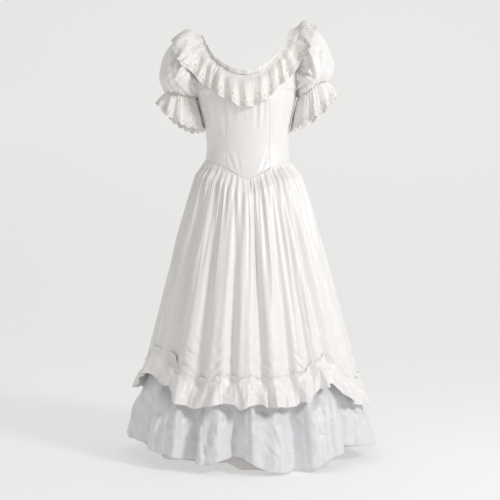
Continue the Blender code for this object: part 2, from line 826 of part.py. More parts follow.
def overskirt_offset(turn, drop):
    """Gathers at the waist that run together into the folds of the hem."""
    below = drop - waist_seam(turn)
    phase = fold_phase(OVERSKIRT_FOLDS, turn)
    gathers = GATHER_RISE * (1.0 + math.cos(4.0 * math.pi * phase)) / 2
    gathers *= 0.35 + 0.65 * smooth_step(below / 0.02)
    gathers *= 1.0 - smooth_step(below / GATHER_LENGTH)
    lapped = (WALL + LAYER_GAP) * (1.0 - smooth_step(below / SKIRT_BLEND))
    grown = smooth_step((below - FOLD_STARTS) / FOLD_OPENS)
    grown *= blend(0.55, 1.0, smooth_step(below / FOLD_FULL))
    return lapped + gathers + grown * fold_height(OVERSKIRT_FOLDS, turn)


def overskirt(turn, drop):
    return skirt(turn, drop, overskirt_offset(turn, drop))


def flounce_offset(turn, drop):
    """Folds of the lower flounce, kept inside the layers above it."""
    out = smooth_step((drop - FLOUNCE_TOP) / (FLOUNCE_OUT_DROP - FLOUNCE_TOP))
    height = fold_height(FLOUNCE_FOLDS, turn) / FLOUNCE_RISE
    height *= 1.0 + FLOUNCE_ROUNDING * (1.0 - height * height)
    grown = smooth_step((drop - FLOUNCE_FOLDS_START) / FLOUNCE_FOLDS_OPEN)
    own = FLOUNCE_RISE * height * blend(FLOUNCE_TOP_FOLDS, 1.0, grown)
    offset = own - FLOUNCE_INSET * (1.0 - out)
    covered = drop - seam_drop(turn)
    over = overskirt_offset(turn, drop)
    ruffle_end = HEM_RUFFLE_ROWS[-1].fall
    if covered < ruffle_end + FLOUNCE_CLEAR_BELOW + FLOUNCE_CLEAR_LENGTH:
        lift = FLOUNCE_UNDER_RUFFLE_LIFT * smooth_step(covered / ruffle_end)
        limit = over + lift - WALL - LAYER_CLEARANCE
        free = smooth_step((covered - ruffle_end - FLOUNCE_CLEAR_BELOW) / FLOUNCE_CLEAR_LENGTH)
        offset = min(offset, blend(limit, max(limit, offset), free))
    return offset


def underskirt_offset(turn, drop):
    """The underskirt's plain cone, inside the overskirt and the flounce."""
    deeper = smooth_step((drop - UNDERSKIRT_INSET_STARTS) / UNDERSKIRT_INSET_LENGTH)
    inset = blend(UNDERSKIRT_TOP_INSET, UNDERSKIRT_FULL_INSET, deeper)
    offset = -inset
    if drop > FLOUNCE_TOP:
        near_hem = smooth_step((drop - FLOUNCE_TOP) / UNDERSKIRT_FOLLOWS_LENGTH)
        beside = [flounce_offset(turn + away, drop) for away in UNDERSKIRT_NEIGHBOURS]
        behind = min(beside) - WALL - LAYER_CLEARANCE
        offset = blend(offset, behind - UNDERSKIRT_HEM_INSET, near_hem)
        offset = min(offset, behind)
    return offset


def hem_drop(turn, column):
    return read(HEMS, "turn", column, wrap(turn))


def turns_between(first, last):
    """The shared columns between two seams, with the seams themselves."""
    gap = math.degrees(SEAM_GAP / 2 / SEAM_RADIUS)
    inside = []
    for turn in COLUMNS:
        place = (turn - first) % 360.0 + first
        if first < place < last:
            inside.append(place)
    return [first + gap] + sorted(inside) + [last - gap]


def make_overskirt(name, first, last, look):
    rows = []
    turns = turns_between(first, last)
    for share in OVERSKIRT_ROWS:
        row = []
        for turn in turns:
            drop = blend(waist_seam(turn) - WAIST_LAP, seam_drop(turn), share)
            row.append(overskirt(turn, drop))
        rows.append(row)
    return cloth(name, rows, look)


def make_hem_ruffle(name, first, last, look):
    """Gathered ruffle on the overskirt's edge, with two columns for each of the skirt's."""
    turns = turns_between(first, last)
    rows = []
    for ruffle in HEM_RUFFLE_ROWS:
        row = []
        for i in range(2 * len(turns) - 1):
            near = turns[i // 2]
            far = turns[(i + 1) // 2]
            turn = 0.5 * (near + far)
            drop = seam_drop(turn) + ruffle.fall
            base = 0.5 * (overskirt(near, drop) + overskirt(far, drop))
            _, normal = ring_place(turn, *HEM_RUFFLE_OVAL, drop)
            flat = min(max(i, 1), 2 * len(turns) - 3)
            wave = ruffle.wave * (1.0 + math.cos(0.5 * math.pi * flat))
            row.append(base + normal * (ruffle.lift + wave))
        rows.append(row)
    return cloth(name, rows, look)


def make_flounce(name, first, last, look):
    rows = []
    turns = turns_between(first, last)
    for share in FLOUNCE_ROWS:
        row = []
        for turn in turns:
            drop = blend(FLOUNCE_TOP, hem_drop(turn, "flounce"), share)
            row.append(skirt(turn, drop, flounce_offset(turn, drop)))
        rows.append(row)
    return cloth(name, rows, look)


def make_underskirt(name, first, last, look):
    rows = []
    turns = turns_between(first, last)
    turns = turns[::2] if len(turns) % 2 else turns[:-1:2] + turns[-1:]
    for share in UNDERSKIRT_ROWS:
        row = []
        for turn in turns:
            drop = blend(waist_seam(turn) - UNDERSKIRT_LAP, hem_drop(turn, "underskirt"), share)
            offset = underskirt_offset(turn, drop) if share > 0.0 else -UNDERSKIRT_SEAM_INSET
            row.append(skirt(turn, drop, offset))
        rows.append(row)
    return cloth(name, rows, look)


def clear_scene():
    for old in list(bpy.data.objects):
        bpy.data.objects.remove(old, do_unlink=True)


def main():
    clear_scene()
    collection = bpy.data.collections.new("wedding_dress")
    bpy.context.scene.collection.children.link(collection)
    satin = material("satin", SATIN, 0.38)
    taffeta = material("taffeta", TAFFETA, 0.45)
    lace = material("lace", LACE, 0.80)
    undercloth = material("undercloth", UNDERCLOTH, 0.70)

    body = make_bodice(satin)
    under_cuffs = tree_of(body)
    sleeves = [make_sleeve(sleeve, satin) for sleeve in SLEEVES]
    for sleeve in SLEEVES:
        make_cuff(sleeve, lace, under_cuffs)
    under_neck = tree_of(body + sleeves)
    make_neck_ruffle("neck_ruffle_front", -90.0, 90.0, lace, under_neck)
    make_neck_ruffle("neck_ruffle_back", 90.0, 270.0, lace, under_neck)

    make_overskirt("overskirt_front", -90.0, 90.0, satin)
    make_overskirt("overskirt_back_right", 90.0, 180.0, satin)
    make_overskirt("overskirt_back_left", 180.0, 270.0, satin)
    for name, first, last in (("front", -90.0, 90.0), ("back", 90.0, 270.0)):
        make_hem_ruffle("hem_ruffle_" + name, first, last, satin)
        make_flounce("flounce_" + name, first, last, taffeta)
        make_underskirt("underskirt_" + name, first, last, undercloth)


if __name__ == "__main__":
    main()
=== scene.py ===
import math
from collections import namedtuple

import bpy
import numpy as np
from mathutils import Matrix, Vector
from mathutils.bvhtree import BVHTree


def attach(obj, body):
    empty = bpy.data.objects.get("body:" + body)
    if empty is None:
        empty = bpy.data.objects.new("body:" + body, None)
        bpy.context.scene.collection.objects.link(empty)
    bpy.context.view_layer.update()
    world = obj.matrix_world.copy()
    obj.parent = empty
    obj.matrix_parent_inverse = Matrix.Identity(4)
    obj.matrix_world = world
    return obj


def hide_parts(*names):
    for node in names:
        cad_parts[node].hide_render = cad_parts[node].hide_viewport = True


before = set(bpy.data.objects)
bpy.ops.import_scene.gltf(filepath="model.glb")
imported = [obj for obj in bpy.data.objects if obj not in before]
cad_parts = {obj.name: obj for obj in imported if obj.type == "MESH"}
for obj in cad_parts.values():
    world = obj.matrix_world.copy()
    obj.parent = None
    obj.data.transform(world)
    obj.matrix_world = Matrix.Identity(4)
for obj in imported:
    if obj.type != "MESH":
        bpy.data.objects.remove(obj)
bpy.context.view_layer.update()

# Full-length wedding dress with puff sleeves, lace ruffles and a swagged overskirt.
#
# Metres, +Z up. The front faces -Y. The origin is the middle of the neck at the height of the
# shoulders. A drop is a distance below the shoulders, and a turn is an angle around the body:
# 0 at the centre front, 90 at +X, 180 at the centre back. Each sheet is a grid of points, rows
# down and columns across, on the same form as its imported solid, with its creases added.

# Camera and studio, in metres and Blender's light units
CAMERA_PLACE = (0.0, -3.0, -0.694)
CAMERA_LENS = 67.5
FLOOR_COLOR = (0.50, 0.50, 0.495)
FLOOR_GLOW = 0.465
FLOOR_DROP = 1.338
KEY_PLACE = (2.5, -2.1, 1.1)
KEY_ENERGY = 64.0
KEY_COLOR = (0.985, 0.99, 1.0)
FILL_PLACE = (-2.2, -2.8, 0.6)
FILL_ENERGY = 4.0
SKY_COLOR = (1.0, 0.98, 0.955, 1.0)
SKY_STRENGTH = 0.46
KEY_AIM = (0.0, 0.0, -0.60)
KEY_SIZE = (0.7, 0.9)
FILL_AIM = (0.0, 0.0, -0.70)
FILL_SIZE = (2.0, 2.0)
BACKDROP_HALF_WIDTH = 7.0
BACKDROP_FRONT = -6.0
BACKDROP_BEND_STARTS = 2.2
BACKDROP_BEND = 1.6
BACKDROP_HEIGHT = 7.0

# Finish of the visual cloth
THIN = 0.0010
STITCHED_GAP = 0.0003
RUFFLE_SEAM_TURN = 0.010
ROLL_RADIUS = 0.0011
STITCH_RADIUS = 0.00045
STITCH_LENGTH = 0.0032
STITCH_PITCH = 0.0050
SCALLOP_PITCH = 0.024
SCALLOP_DEPTH = 0.0075

# Cloth
WALL = 0.0012
SEAM_GAP = 0.0005
LAYER_GAP = 0.0004
LAYER_CLEARANCE = 0.0045

# How the dress hangs: its middle line leans a little, and one shoulder sits higher
MIDDLE_X = -0.0035
MIDDLE_LEAN = 0.0115
MIDDLE_DROP = 0.694
SHOULDER_SLOPE = 0.070
SLOPE_STARTS = 0.42
SLOPE_FULL = 0.10

# Bodice
PRINCESS_X = 0.068
PRINCESS_AWAY = 59.0
SIDE_X = 0.17
WAIST_DROP = 0.41
ARMHOLE_HEIGHT = 0.200
ARMHOLE_DEPTH = 0.058
CREST_HALF_GAP = 0.0010
BACK_NECK_SCALE = 0.93
PLACKET_END = 0.975
BODICE_ROWS = 8
CENTRE_COLUMNS = 6

Torso = namedtuple("Torso", "drop half_width front back taper")
TORSO = (
    Torso(0.000, 0.1650, 0.0010, 0.0010, 2.0),
    Torso(0.012, 0.1640, 0.0340, 0.0360, 2.0),
    Torso(0.030, 0.1620, 0.0520, 0.0560, 2.0),
    Torso(0.060, 0.1600, 0.0720, 0.0800, 2.0),
    Torso(0.100, 0.1580, 0.0940, 0.0980, 1.9),
    Torso(0.140, 0.1570, 0.1120, 0.1060, 1.7),
    Torso(0.170, 0.1570, 0.1210, 0.1070, 1.4),
    Torso(0.200, 0.1570, 0.1270, 0.1060, 1.0),
    Torso(0.240, 0.1500, 0.1280, 0.1010, 1.0),
    Torso(0.285, 0.1390, 0.1190, 0.0950, 1.0),
    Torso(0.330, 0.1320, 0.1070, 0.0900, 1.0),
    Torso(0.370, 0.1305, 0.1000, 0.0880, 1.0),
    Torso(0.410, 0.1365, 0.1010, 0.0920, 1.0),
    Torso(0.440, 0.1460, 0.1060, 0.0980, 1.0),
    Torso(0.480, 0.1600, 0.1140, 0.1060, 1.0),
)

Bust = namedtuple("Bust", "x drop rise spread_x spread_drop")
BUST = Bust(0.074, 0.222, 0.008, 0.042, 0.052)

Neck = namedtuple("Neck", "away half_width drop")
NECKLINE = (
    Neck(0, 0.1385, 0.000),
    Neck(12, 0.1290, 0.027),
    Neck(25, 0.1170, 0.058),
    Neck(42, 0.0970, 0.095),
    Neck(59, 0.0680, 0.126),
    Neck(76, 0.0340, 0.150),
    Neck(90, 0.0000, 0.158),
)

Basque = namedtuple("Basque", "turn drop")
BASQUE = (
    Basque(0, 0.480),
    Basque(8, 0.470),
    Basque(20, 0.453),
    Basque(32, 0.438),
    Basque(55, 0.421),
    Basque(90, 0.409),
    Basque(180, 0.400),
)

# Puff sleeves and their lace cuffs
PUFF_GATHERS = 12
PUFF_GATHER_RISE = 0.0030
PUFF_GATHER_LENGTH = 0.10
PUFF_GATHER_SHARES = (0.14, 0.86)
PUFF_CREASES = 4
PUFF_CREASE_RISE = 0.0060
PUFF_CREASE_TWIST = 150.0
CUFF_WAVES = 12
CUFF_RING = (0.047, 0.052)
CUFF_HEM_RING = (0.088, 0.082)
CUFF_WAVE = 0.010
CUFF_SWELL = 0.010
CUFF_CLEARANCE = 0.002
CUFF_GAP = 0.0008

Sleeve = namedtuple("Sleeve", "name side cuff_x cuff_drop cuff_tilt hem_x hem_drop hem_tilt hem_sag")
SLEEVES = (
    Sleeve("left", -1, 0.2080, 0.190, 16, 0.2100, 0.262, 31, 0.034),
    Sleeve("right", 1, 0.2060, 0.192, 25, 0.2110, 0.270, 34, 0.016),
)

Puff = namedtuple("Puff", "turn head_out head_rise head_forth cuff_out cuff_rise cuff_forth")
PUFF = (
    Puff(0, 0.032, 0.038, 0.000, 0.062, 0.080, 0.000),
    Puff(45, 0.038, 0.032, 0.034, 0.052, 0.057, 0.052),
    Puff(90, 0.040, 0.014, 0.056, 0.034, 0.018, 0.070),
    Puff(135, 0.018, 0.000, 0.030, 0.012, 0.000, 0.030),
    Puff(180, 0.005, -0.003, 0.000, 0.000, 0.004, 0.000),
)

# Neck ruffle of lace, with its heading above the stitch line
NECK_WAVES = 28
NECK_COLUMNS = 4 * NECK_WAVES
NECK_FALL_LENGTH = 0.108
SHOULDER_HEART = (0.150, 0.110)
CHEST_HEART = 0.210
HEART_MOVES_UNTIL = 75.0
HEADING_LEAN = 0.10
EVEN_AT = 0.3
REACH_BLEND = 40.0
SHOULDER_WAVE = 0.45

Fall = namedtuple("Fall", "away plan start end reach")
NECK_FALL = (
    Fall(0, 0, 4, 60, 0.74),
    Fall(14, 12, 18, 66, 0.80),
    Fall(28, 28, 44, 76, 0.92),
    Fall(55, 62, 70, 82, 1.00),
    Fall(90, 90, 74, 84, 1.00),
)
RIGHT_SHOULDER_REACH = 0.84

RuffleRow = namedtuple("RuffleRow", "fall lift wave")
NECK_RUFFLE_ROWS = (
    RuffleRow(-0.014, 0.0028, 0.0024),
    RuffleRow(0.005, 0.0025, 0.0002),
    RuffleRow(0.036, 0.0115, 0.0040),
    RuffleRow(0.072, 0.0065, 0.0080),
    RuffleRow(0.108, 0.0055, 0.0105),
)

# Skirt
Ring = namedtuple("Ring", "drop half_width front back")
SKIRT = (
    Ring(0.400, 0.1420, 0.104, 0.098),
    Ring(0.440, 0.1560, 0.117, 0.112),
    Ring(0.480, 0.1700, 0.128, 0.124),
    Ring(0.534, 0.1850, 0.144, 0.140),
    Ring(0.605, 0.2030, 0.162, 0.158),
    Ring(0.701, 0.2285, 0.186, 0.183),
    Ring(0.797, 0.2540, 0.209, 0.207),
    Ring(0.893, 0.2800, 0.233, 0.231),
    Ring(0.989, 0.3045, 0.254, 0.252),
    Ring(1.085, 0.3290, 0.274, 0.272),
    Ring(1.190, 0.3550, 0.294, 0.292),
    Ring(1.300, 0.3790, 0.310, 0.308),
)
SKIRT_SEAMS = (-90.0, 90.0, 180.0)
SEAM_RADIUS = 0.12
COLUMN_CLEARANCE = 1.4
SKIRT_BLEND = 0.05
WAIST_LAP = 0.002
GATHER_RISE = 0.0030
GATHER_LENGTH = 0.13
FOLD_STARTS = 0.02
FOLD_OPENS = 0.22
FOLD_FULL = 0.62

Fold = namedtuple("Fold", "ridge valley rise")
FRONT_FOLDS = (
    Fold(-84.0, -75.0, 0.007),
    Fold(-66.0, -47.0, 0.011),
    Fold(-37.0, -28.0, 0.012),
    Fold(-17.0, -10.0, 0.010),
    Fold(-3.0, 6.0, 0.009),
    Fold(12.0, 21.0, 0.012),
    Fold(27.0, 33.0, 0.008),
    Fold(38.5, 45.0, 0.012),
    Fold(55.0, 63.0, 0.010),
    Fold(72.0, 81.0, 0.009),
)
BACK_FOLD_COUNT = 14
BACK_FOLDS_START = 92.0
BACK_FOLDS_END = 276.0

FLOUNCE_FRONT_FOLDS = (
    Fold(-96.0, -62.0, 0.012),
    Fold(-40.0, -27.0, 0.018),
    Fold(-19.0, -8.0, 0.017),
    Fold(6.0, 20.0, 0.016),
    Fold(34.0, 52.0, 0.020),
    Fold(73.0, 90.0, 0.013),
)
FLOUNCE_RISE = 0.020
FLOUNCE_FOLDS_START = 1.06
FLOUNCE_FOLDS_OPEN = 0.15
FLOUNCE_BACK_FOLD_COUNT = 6
FLOUNCE_BACK_START = 106.0
FLOUNCE_BACK_END = 264.0

Swag = namedtuple("Swag", "turn drop")
SWAG = (
    Swag(-180, 1.092),
    Swag(-155, 1.080),
    Swag(-130, 1.008),
    Swag(-105, 1.064),
    Swag(-88, 1.060),
    Swag(-66, 1.004),
    Swag(-48, 1.024),
    Swag(-38, 1.066),
    Swag(-28, 1.086),
    Swag(-10, 1.077),
    Swag(10, 1.081),
    Swag(26, 1.070),
    Swag(44, 1.024),
    Swag(58, 1.084),
    Swag(75, 1.106),
    Swag(90, 1.100),
    Swag(110, 1.080),
    Swag(132, 1.010),
    Swag(155, 1.080),
    Swag(180, 1.092),
)

HEM_RUFFLE_ROWS = (
    RuffleRow(-0.016, 0.0050, 0.0022),
    RuffleRow(-0.003, 0.0020, 0.0000),
    RuffleRow(0.030, 0.0070, 0.0036),
    RuffleRow(0.066, 0.0095, 0.0066),
)
HEM_RUFFLE_OVAL = (0.33, 0.27)

FLOUNCE_TOP = 0.985
FLOUNCE_INSET = 0.020
FLOUNCE_OUT_DROP = 1.185
FLOUNCE_ROUNDING = 0.45
FLOUNCE_TOP_FOLDS = 0.05
FLOUNCE_UNDER_RUFFLE_LIFT = 0.007
FLOUNCE_CLEAR_BELOW = 0.0165
FLOUNCE_CLEAR_LENGTH = 0.025

HemRow = namedtuple("HemRow", "turn flounce underskirt")
HEMS = (
    HemRow(-180, 1.298, 1.312),
    HemRow(-110, 1.286, 1.296),
    HemRow(-90, 1.280, 1.289),
    HemRow(-50, 1.286, 1.299),
    HemRow(-38, 1.293, 1.312),
    HemRow(-19, 1.310, 1.315),
    HemRow(-12, 1.296, 1.312),
    HemRow(-4, 1.290, 1.332),
    HemRow(6, 1.320, 1.328),
    HemRow(18, 1.333, 1.334),
    HemRow(26, 1.328, 1.329),
    HemRow(36, 1.300, 1.304),
    HemRow(50, 1.282, 1.288),
    HemRow(73, 1.293, 1.298),
    HemRow(90, 1.288, 1.296),
    HemRow(180, 1.298, 1.312),
)

UNDERSKIRT_LAP = 0.001
UNDERSKIRT_SEAM_INSET = 0.0027
UNDERSKIRT_TOP_INSET = 0.014
UNDERSKIRT_FULL_INSET = 0.034
UNDERSKIRT_INSET_STARTS = 0.50
UNDERSKIRT_INSET_LENGTH = 0.40
UNDERSKIRT_HEM_INSET = 0.0024
UNDERSKIRT_FOLLOWS_LENGTH = 0.25
UNDERSKIRT_NEIGHBOURS = (-5.0, -2.5, 0.0, 2.5, 5.0)
UNDERSKIRT_ROWS = (0.0, 0.16, 0.42, 0.635, 0.80, 1.0)

SATIN_LIGHT = (0.91, 0.897, 0.890)
SATIN_SHADE = (0.87, 0.85, 0.835)
TAFFETA_LIGHT = (0.855, 0.85, 0.872)
TAFFETA_SHADE = (0.75, 0.743, 0.765)
LACE_LIGHT = (0.955, 0.930, 0.898)
# Painted shade in the lace net's holes, which are not cut through.
LACE_NET_HOLE_PAINTED_SHADE = (0.905, 0.875, 0.838)
# Painted shade in the lace's eyelets, which are not cut through.
LACE_EYELET_PAINTED_SHADE = (0.62, 0.585, 0.54)
UNDERCLOTH_LIGHT = (0.80, 0.78, 0.765)
UNDERCLOTH_SHADE = (0.73, 0.71, 0.695)
EYELET_ROWS = ((0.0085, 0.0060, 0.0013), (0.0130, 0.0140, 0.0020), (0.0520, 0.0270, 0.0026))

# Columns and rows of the visual sheets, along and down each piece
PANEL_ROWS = 66
STRAP_FINE = 28
SIDE_FINE = 32
PUFF_FINE = 168
PUFF_FINE_ROWS = 64
CUFF_FINE = 300
CUFF_FINE_ROWS = 30
NECK_FINE_ROWS = 36
NECK_HEADING_ROWS = 7
NECK_COLUMN_WIDTH = 0.0085
OVERSKIRT_FRONT_FINE = 340
OVERSKIRT_BACK_FINE = 110
OVERSKIRT_FINE_ROWS = 100
RUFFLE_FINE_ROWS = 28
FLOUNCE_FRONT_FINE = 280
FLOUNCE_BACK_FINE = 190
FLOUNCE_FINE_ROWS = 64
UNDERSKIRT_FINE = 90
UNDERSKIRT_FINE_ROWS = 46

# Depths of the creases and waves that are added to each form, in metres
PANEL_FOLD = 0.0022
PANEL_CROSS_CREASE = 0.0009
PUFF_LONG_CREASE = 0.0030
PUFF_FINE_CREASE = 0.0026
PUFF_SLANT_CREASE = 0.0040
CUFF_GATHER = 0.0022
CUFF_CRINKLE = 0.0016
CUFF_SWING_TURN = 22.0
CUFF_LENGTH = 0.09
NECK_HEADING = 0.014
NECK_UNEVEN_SHARE = 0.075
NECK_CRINKLE = 0.0024
NECK_FRILL = 0.0020
WAIST_GATHER = 0.0046
WAIST_PLEAT = 0.0060
OVERSKIRT_BROADER = 0.0105
OVERSKIRT_LONG_FOLD = 0.0042
OVERSKIRT_CRUSH = 0.0017
OVERSKIRT_FINE_CRUSH = 0.0010
RUFFLE_GATHER = 0.0034
RUFFLE_FRILL = 0.0034
RUFFLE_SOFT_FOLD = 0.0046
RUFFLE_SAG = 0.0085
RUFFLE_HEADING_RISE = 0.0045
RUFFLE_HEADING_CLOSES = 0.0026
FLOUNCE_BROADER = (0.0270, 0.0060)
FLOUNCE_VALLEY = (0.0062, 0.0030)
FLOUNCE_BROAD_CREASE = 0.0040
FLOUNCE_CRISP_CREASE = 0.0036
FLOUNCE_SLANT_CREASE = 0.0031

# Creases that the photograph shows, as straight valleys between two places of the hung dress
Line = namedtuple("Line", "x drop to_x to_drop width depth")
PUFF_CREASE_LINES = (
    Line(-0.248, 0.085, -0.252, 0.133, 0.0100, -0.0070),
    Line(-0.252, 0.133, -0.248, 0.195, 0.0100, -0.0080),
    Line(-0.248, 0.195, -0.235, 0.227, 0.0090, -0.0060),
    Line(-0.218, 0.080, -0.242, 0.122, 0.0065, 0.0080),
    Line(-0.190, 0.094, -0.230, 0.134, 0.0070, 0.0080),
    Line(-0.196, 0.110, -0.236, 0.172, 0.0060, -0.0050),
    Line(-0.186, 0.128, -0.236, 0.180, 0.0085, 0.0080),
    Line(-0.226, 0.216, -0.224, 0.184, 0.0055, 0.0055),
    Line(-0.224, 0.184, -0.192, 0.214, 0.0060, 0.0055),
    Line(0.124, 0.092, 0.156, 0.135, 0.0070, 0.0070),
    Line(0.156, 0.135, 0.196, 0.162, 0.0070, 0.0095),
    Line(0.172, 0.080, 0.198, 0.158, 0.0085, 0.0085),
    Line(0.214, 0.070, 0.216, 0.150, 0.0110, 0.0040),
    Line(0.150, 0.190, 0.176, 0.176, 0.0060, 0.0045),
)

# How much of its length the neck ruffle shows at each turn, as its edge hangs unevenly
Edge = namedtuple("Edge", "turn share")
NECK_EDGE = (
    Edge(-180, 0.96),
    Edge(-120, 0.92),
    Edge(-90, 1.00),
    Edge(-60, 0.97),
    Edge(-42, 0.88),
    Edge(-32, 0.97),
    Edge(-22, 0.90),
    Edge(-12, 1.00),
    Edge(2, 0.99),
    Edge(12, 0.90),
    Edge(22, 0.94),
    Edge(34, 0.84),
    Edge(55, 0.90),
    Edge(90, 1.00),
    Edge(135, 0.91),
    Edge(180, 0.96),
)

BODICE_CREASES = (
    Line(-0.126, 0.205, -0.098, 0.330, 0.0110, 0.0036),
    Line(-0.146, 0.205, -0.126, 0.310, 0.0090, 0.0028),
    Line(-0.045, 0.200, -0.052, 0.290, 0.0100, 0.0020),
    Line(0.022, 0.200, 0.020, 0.315, 0.0095, 0.0022),
    Line(0.045, 0.195, 0.040, 0.305, 0.0090, 0.0024),
    Line(0.102, 0.190, 0.088, 0.320, 0.0110, 0.0034),
    Line(0.126, 0.190, 0.108, 0.330, 0.0100, 0.0030),
    Line(-0.074, 0.385, -0.048, 0.446, 0.0080, 0.0015),
    Line(-0.041, 0.395, -0.030, 0.456, 0.0080, 0.0014),
    Line(0.056, 0.398, 0.033, 0.450, 0.0080, 0.0016),
    Line(-0.132, 0.372, -0.112, 0.412, 0.0070, 0.0016),
    Line(0.086, 0.350, 0.122, 0.392, 0.0080, 0.0016),
)
OVERSKIRT_CREASES = (
    Line(-0.199, 0.975, -0.148, 1.026, 0.0068, 0.0042),
    Line(-0.194, 1.000, -0.143, 1.046, 0.0062, 0.0036),
    Line(-0.204, 1.026, -0.158, 1.066, 0.0065, 0.0040),
    Line(-0.168, 0.960, -0.128, 0.996, 0.0062, 0.0034),
    Line(-0.123, 1.051, -0.077, 1.011, 0.0068, 0.0042),
    Line(-0.118, 1.077, -0.072, 1.036, 0.0062, 0.0036),
    Line(-0.108, 0.996, -0.067, 0.965, 0.0062, 0.0034),
    Line(-0.163, 1.071, -0.128, 1.097, 0.0062, 0.0034),
    Line(0.121, 0.990, 0.166, 1.031, 0.0068, 0.0038),
    Line(0.131, 1.021, 0.171, 1.061, 0.0062, 0.0034),
    Line(0.034, 1.006, 0.065, 1.046, 0.0062, 0.0030),
    Line(-0.176, 0.700, -0.210, 0.900, 0.0100, 0.0050),
    Line(-0.208, 0.660, -0.262, 0.900, 0.0090, 0.0055),
    Line(-0.150, 0.560, -0.200, 0.760, 0.0080, 0.0050),
    Line(-0.186, 0.560, -0.236, 0.730, 0.0070, 0.0045),
    Line(0.180, 0.560, 0.236, 0.800, 0.0080, 0.0045),
    Line(0.214, 0.640, 0.274, 0.900, 0.0090, 0.0045),
    Line(0.146, 0.760, 0.190, 1.020, 0.0080, 0.0040),
)
FLOUNCE_CREASES = (
    Line(-0.250, 1.136, -0.283, 1.290, 0.0100, 0.0045),
    Line(-0.206, 1.150, -0.212, 1.300, 0.0080, 0.0030),
    Line(-0.145, 1.160, -0.129, 1.310, 0.0090, 0.0045),
    Line(-0.081, 1.150, -0.081, 1.300, 0.0080, 0.0048),
    Line(-0.006, 1.140, -0.003, 1.300, 0.0090, 0.0045),
    Line(0.060, 1.200, 0.094, 1.280, 0.0050, 0.0030),
    Line(0.040, 1.250, 0.082, 1.290, 0.0045, 0.0026),
    Line(0.099, 1.150, 0.112, 1.320, 0.0080, 0.0045),
    Line(0.155, 1.150, 0.170, 1.330, 0.0080, 0.0035),
    Line(0.120, 1.170, 0.150, 1.210, 0.0045, 0.0028),
    Line(0.196, 1.180, 0.210, 1.290, 0.0060, 0.0030),
    Line(0.231, 1.130, 0.244, 1.310, 0.0090, 0.0048),
    Line(0.266, 1.140, 0.284, 1.300, 0.0130, 0.0050),
    Line(0.302, 1.140, 0.322, 1.295, 0.0100, 0.0045),
    Line(0.331, 1.150, 0.358, 1.290, 0.0080, 0.0030),
    Line(-0.185, 1.190, -0.160, 1.240, 0.0050, 0.0028),
    Line(-0.176, 1.230, -0.140, 1.250, 0.0045, 0.0024),
)

Cut = namedtuple("Cut", "piece width length area held rests_on trims")


def blend(low, high, amount):
    return low + (high - low) * amount


def smooth_step(amount):
    amount = np.clip(amount, 0.0, 1.0)
    return amount * amount * (3.0 - 2.0 * amount)


def read(rows, key, column, at):
    """Read a column at keys, on a smooth curve through the table's rows."""
    keys = np.array([getattr(row, key) for row in rows], float)
    values = np.array([getattr(row, column) for row in rows], float)
    spans = np.diff(keys)
    slopes = np.diff(values) / spans
    tangents = np.empty(len(keys))
    tangents[0], tangents[-1] = slopes[0], slopes[-1]
    before, after = slopes[:-1], slopes[1:]
    same = before * after > 0.0
    total = np.where(same, before + after, 1.0)
    tangents[1:-1] = np.where(same, 2.0 * before * after / total, 0.0)
    at = np.clip(at, keys[0], keys[-1])
    i = np.clip(np.searchsorted(keys, at, side="right") - 1, 0, len(keys) - 2)
    t = (at - keys[i]) / spans[i]
    start = values[i] * (2 * t**3 - 3 * t**2 + 1) + tangents[i] * spans[i] * (t**3 - 2 * t**2 + t)
    end = values[i + 1] * (3 * t**2 - 2 * t**3) + tangents[i + 1] * spans[i] * (t**3 - t**2)
    return start + end


def wrap(turn):
    return (turn + 180.0) % 360.0 - 180.0


def points_of(x, y, z):
    return np.stack(np.broadcast_arrays(x, y, z), axis=-1).astype(float)


def as_hung(points):
    """Lean the middle line and slope the shoulders, as the dress hangs."""
    drop = -points[..., 2]
    hung = points.copy()
    hung[..., 0] += MIDDLE_X + MIDDLE_LEAN * (drop - MIDDLE_DROP)
    slope = SHOULDER_SLOPE * smooth_step((SLOPE_STARTS - drop) / (SLOPE_STARTS - SLOPE_FULL))
    hung[..., 2] += slope * points[..., 0]
    return hung


def unhung(points):
    """The places before the lean of points that already hang."""
    free = points.copy()
    for _ in range(6):
        free += points - as_hung(free)
    return free


def rumple(across, along, seed):
    """Smooth noise between -1 and 1 over two distances counted in creases."""
    across, along = np.broadcast_arrays(np.asarray(across, float), np.asarray(along, float))
    left = np.floor(across).astype(np.int64)
    top = np.floor(along).astype(np.int64)
    s = smooth_step(across - left)
    t = smooth_step(along - top)

    def corner(right, down):
        mixed = (left + right) * 374761393 + (top + down) * 668265263 + seed * 974711
        mixed = ((mixed & 0xFFFFFFFF) ^ ((mixed & 0xFFFFFFFF) >> 13)) * 1274126177 & 0xFFFFFFFF
        return (mixed ^ (mixed >> 16)) / 2**31 - 1.0

    upper = blend(corner(0, 0), corner(1, 0), s)
    lower = blend(corner(0, 1), corner(1, 1), s)
    return blend(upper, lower, t)


def creases(across, along, seed):
    """Noise with soft valleys and sharper crests, as pressed or crushed cloth has."""
    first = rumple(across, along, seed)
    second = rumple(across * 2.1 + 3.7, along * 2.1 + 1.3, seed + 11)
    return 1.0 - 2.0 * np.abs(first * 0.7 + second * 0.3)


def drawn_creases(points, rows, face):
    """Depth of the table's creases on one face of the dress: a valley between two low crests."""
    hung = as_hung(points)
    x, drop = hung[..., 0], -hung[..., 2]
    depth = np.zeros(x.shape)
    for row in rows:
        run_x, run_drop = row.to_x - row.x, row.to_drop - row.drop
        length = math.hypot(run_x, run_drop)
        at = np.clip(((x - row.x) * run_x + (drop - row.drop) * run_drop) / length**2, 0.0, 1.0)
        far = np.hypot(x - row.x - at * run_x, drop - row.drop - at * run_drop) / row.width
        ends = 0.45 + 0.55 * np.sin(math.pi * at)
        depth = depth + row.depth * ends * (1.6 * far**2 - 1.0) * np.exp(-far**2)
    return depth * smooth_step(points[..., 1] * face / 0.015)


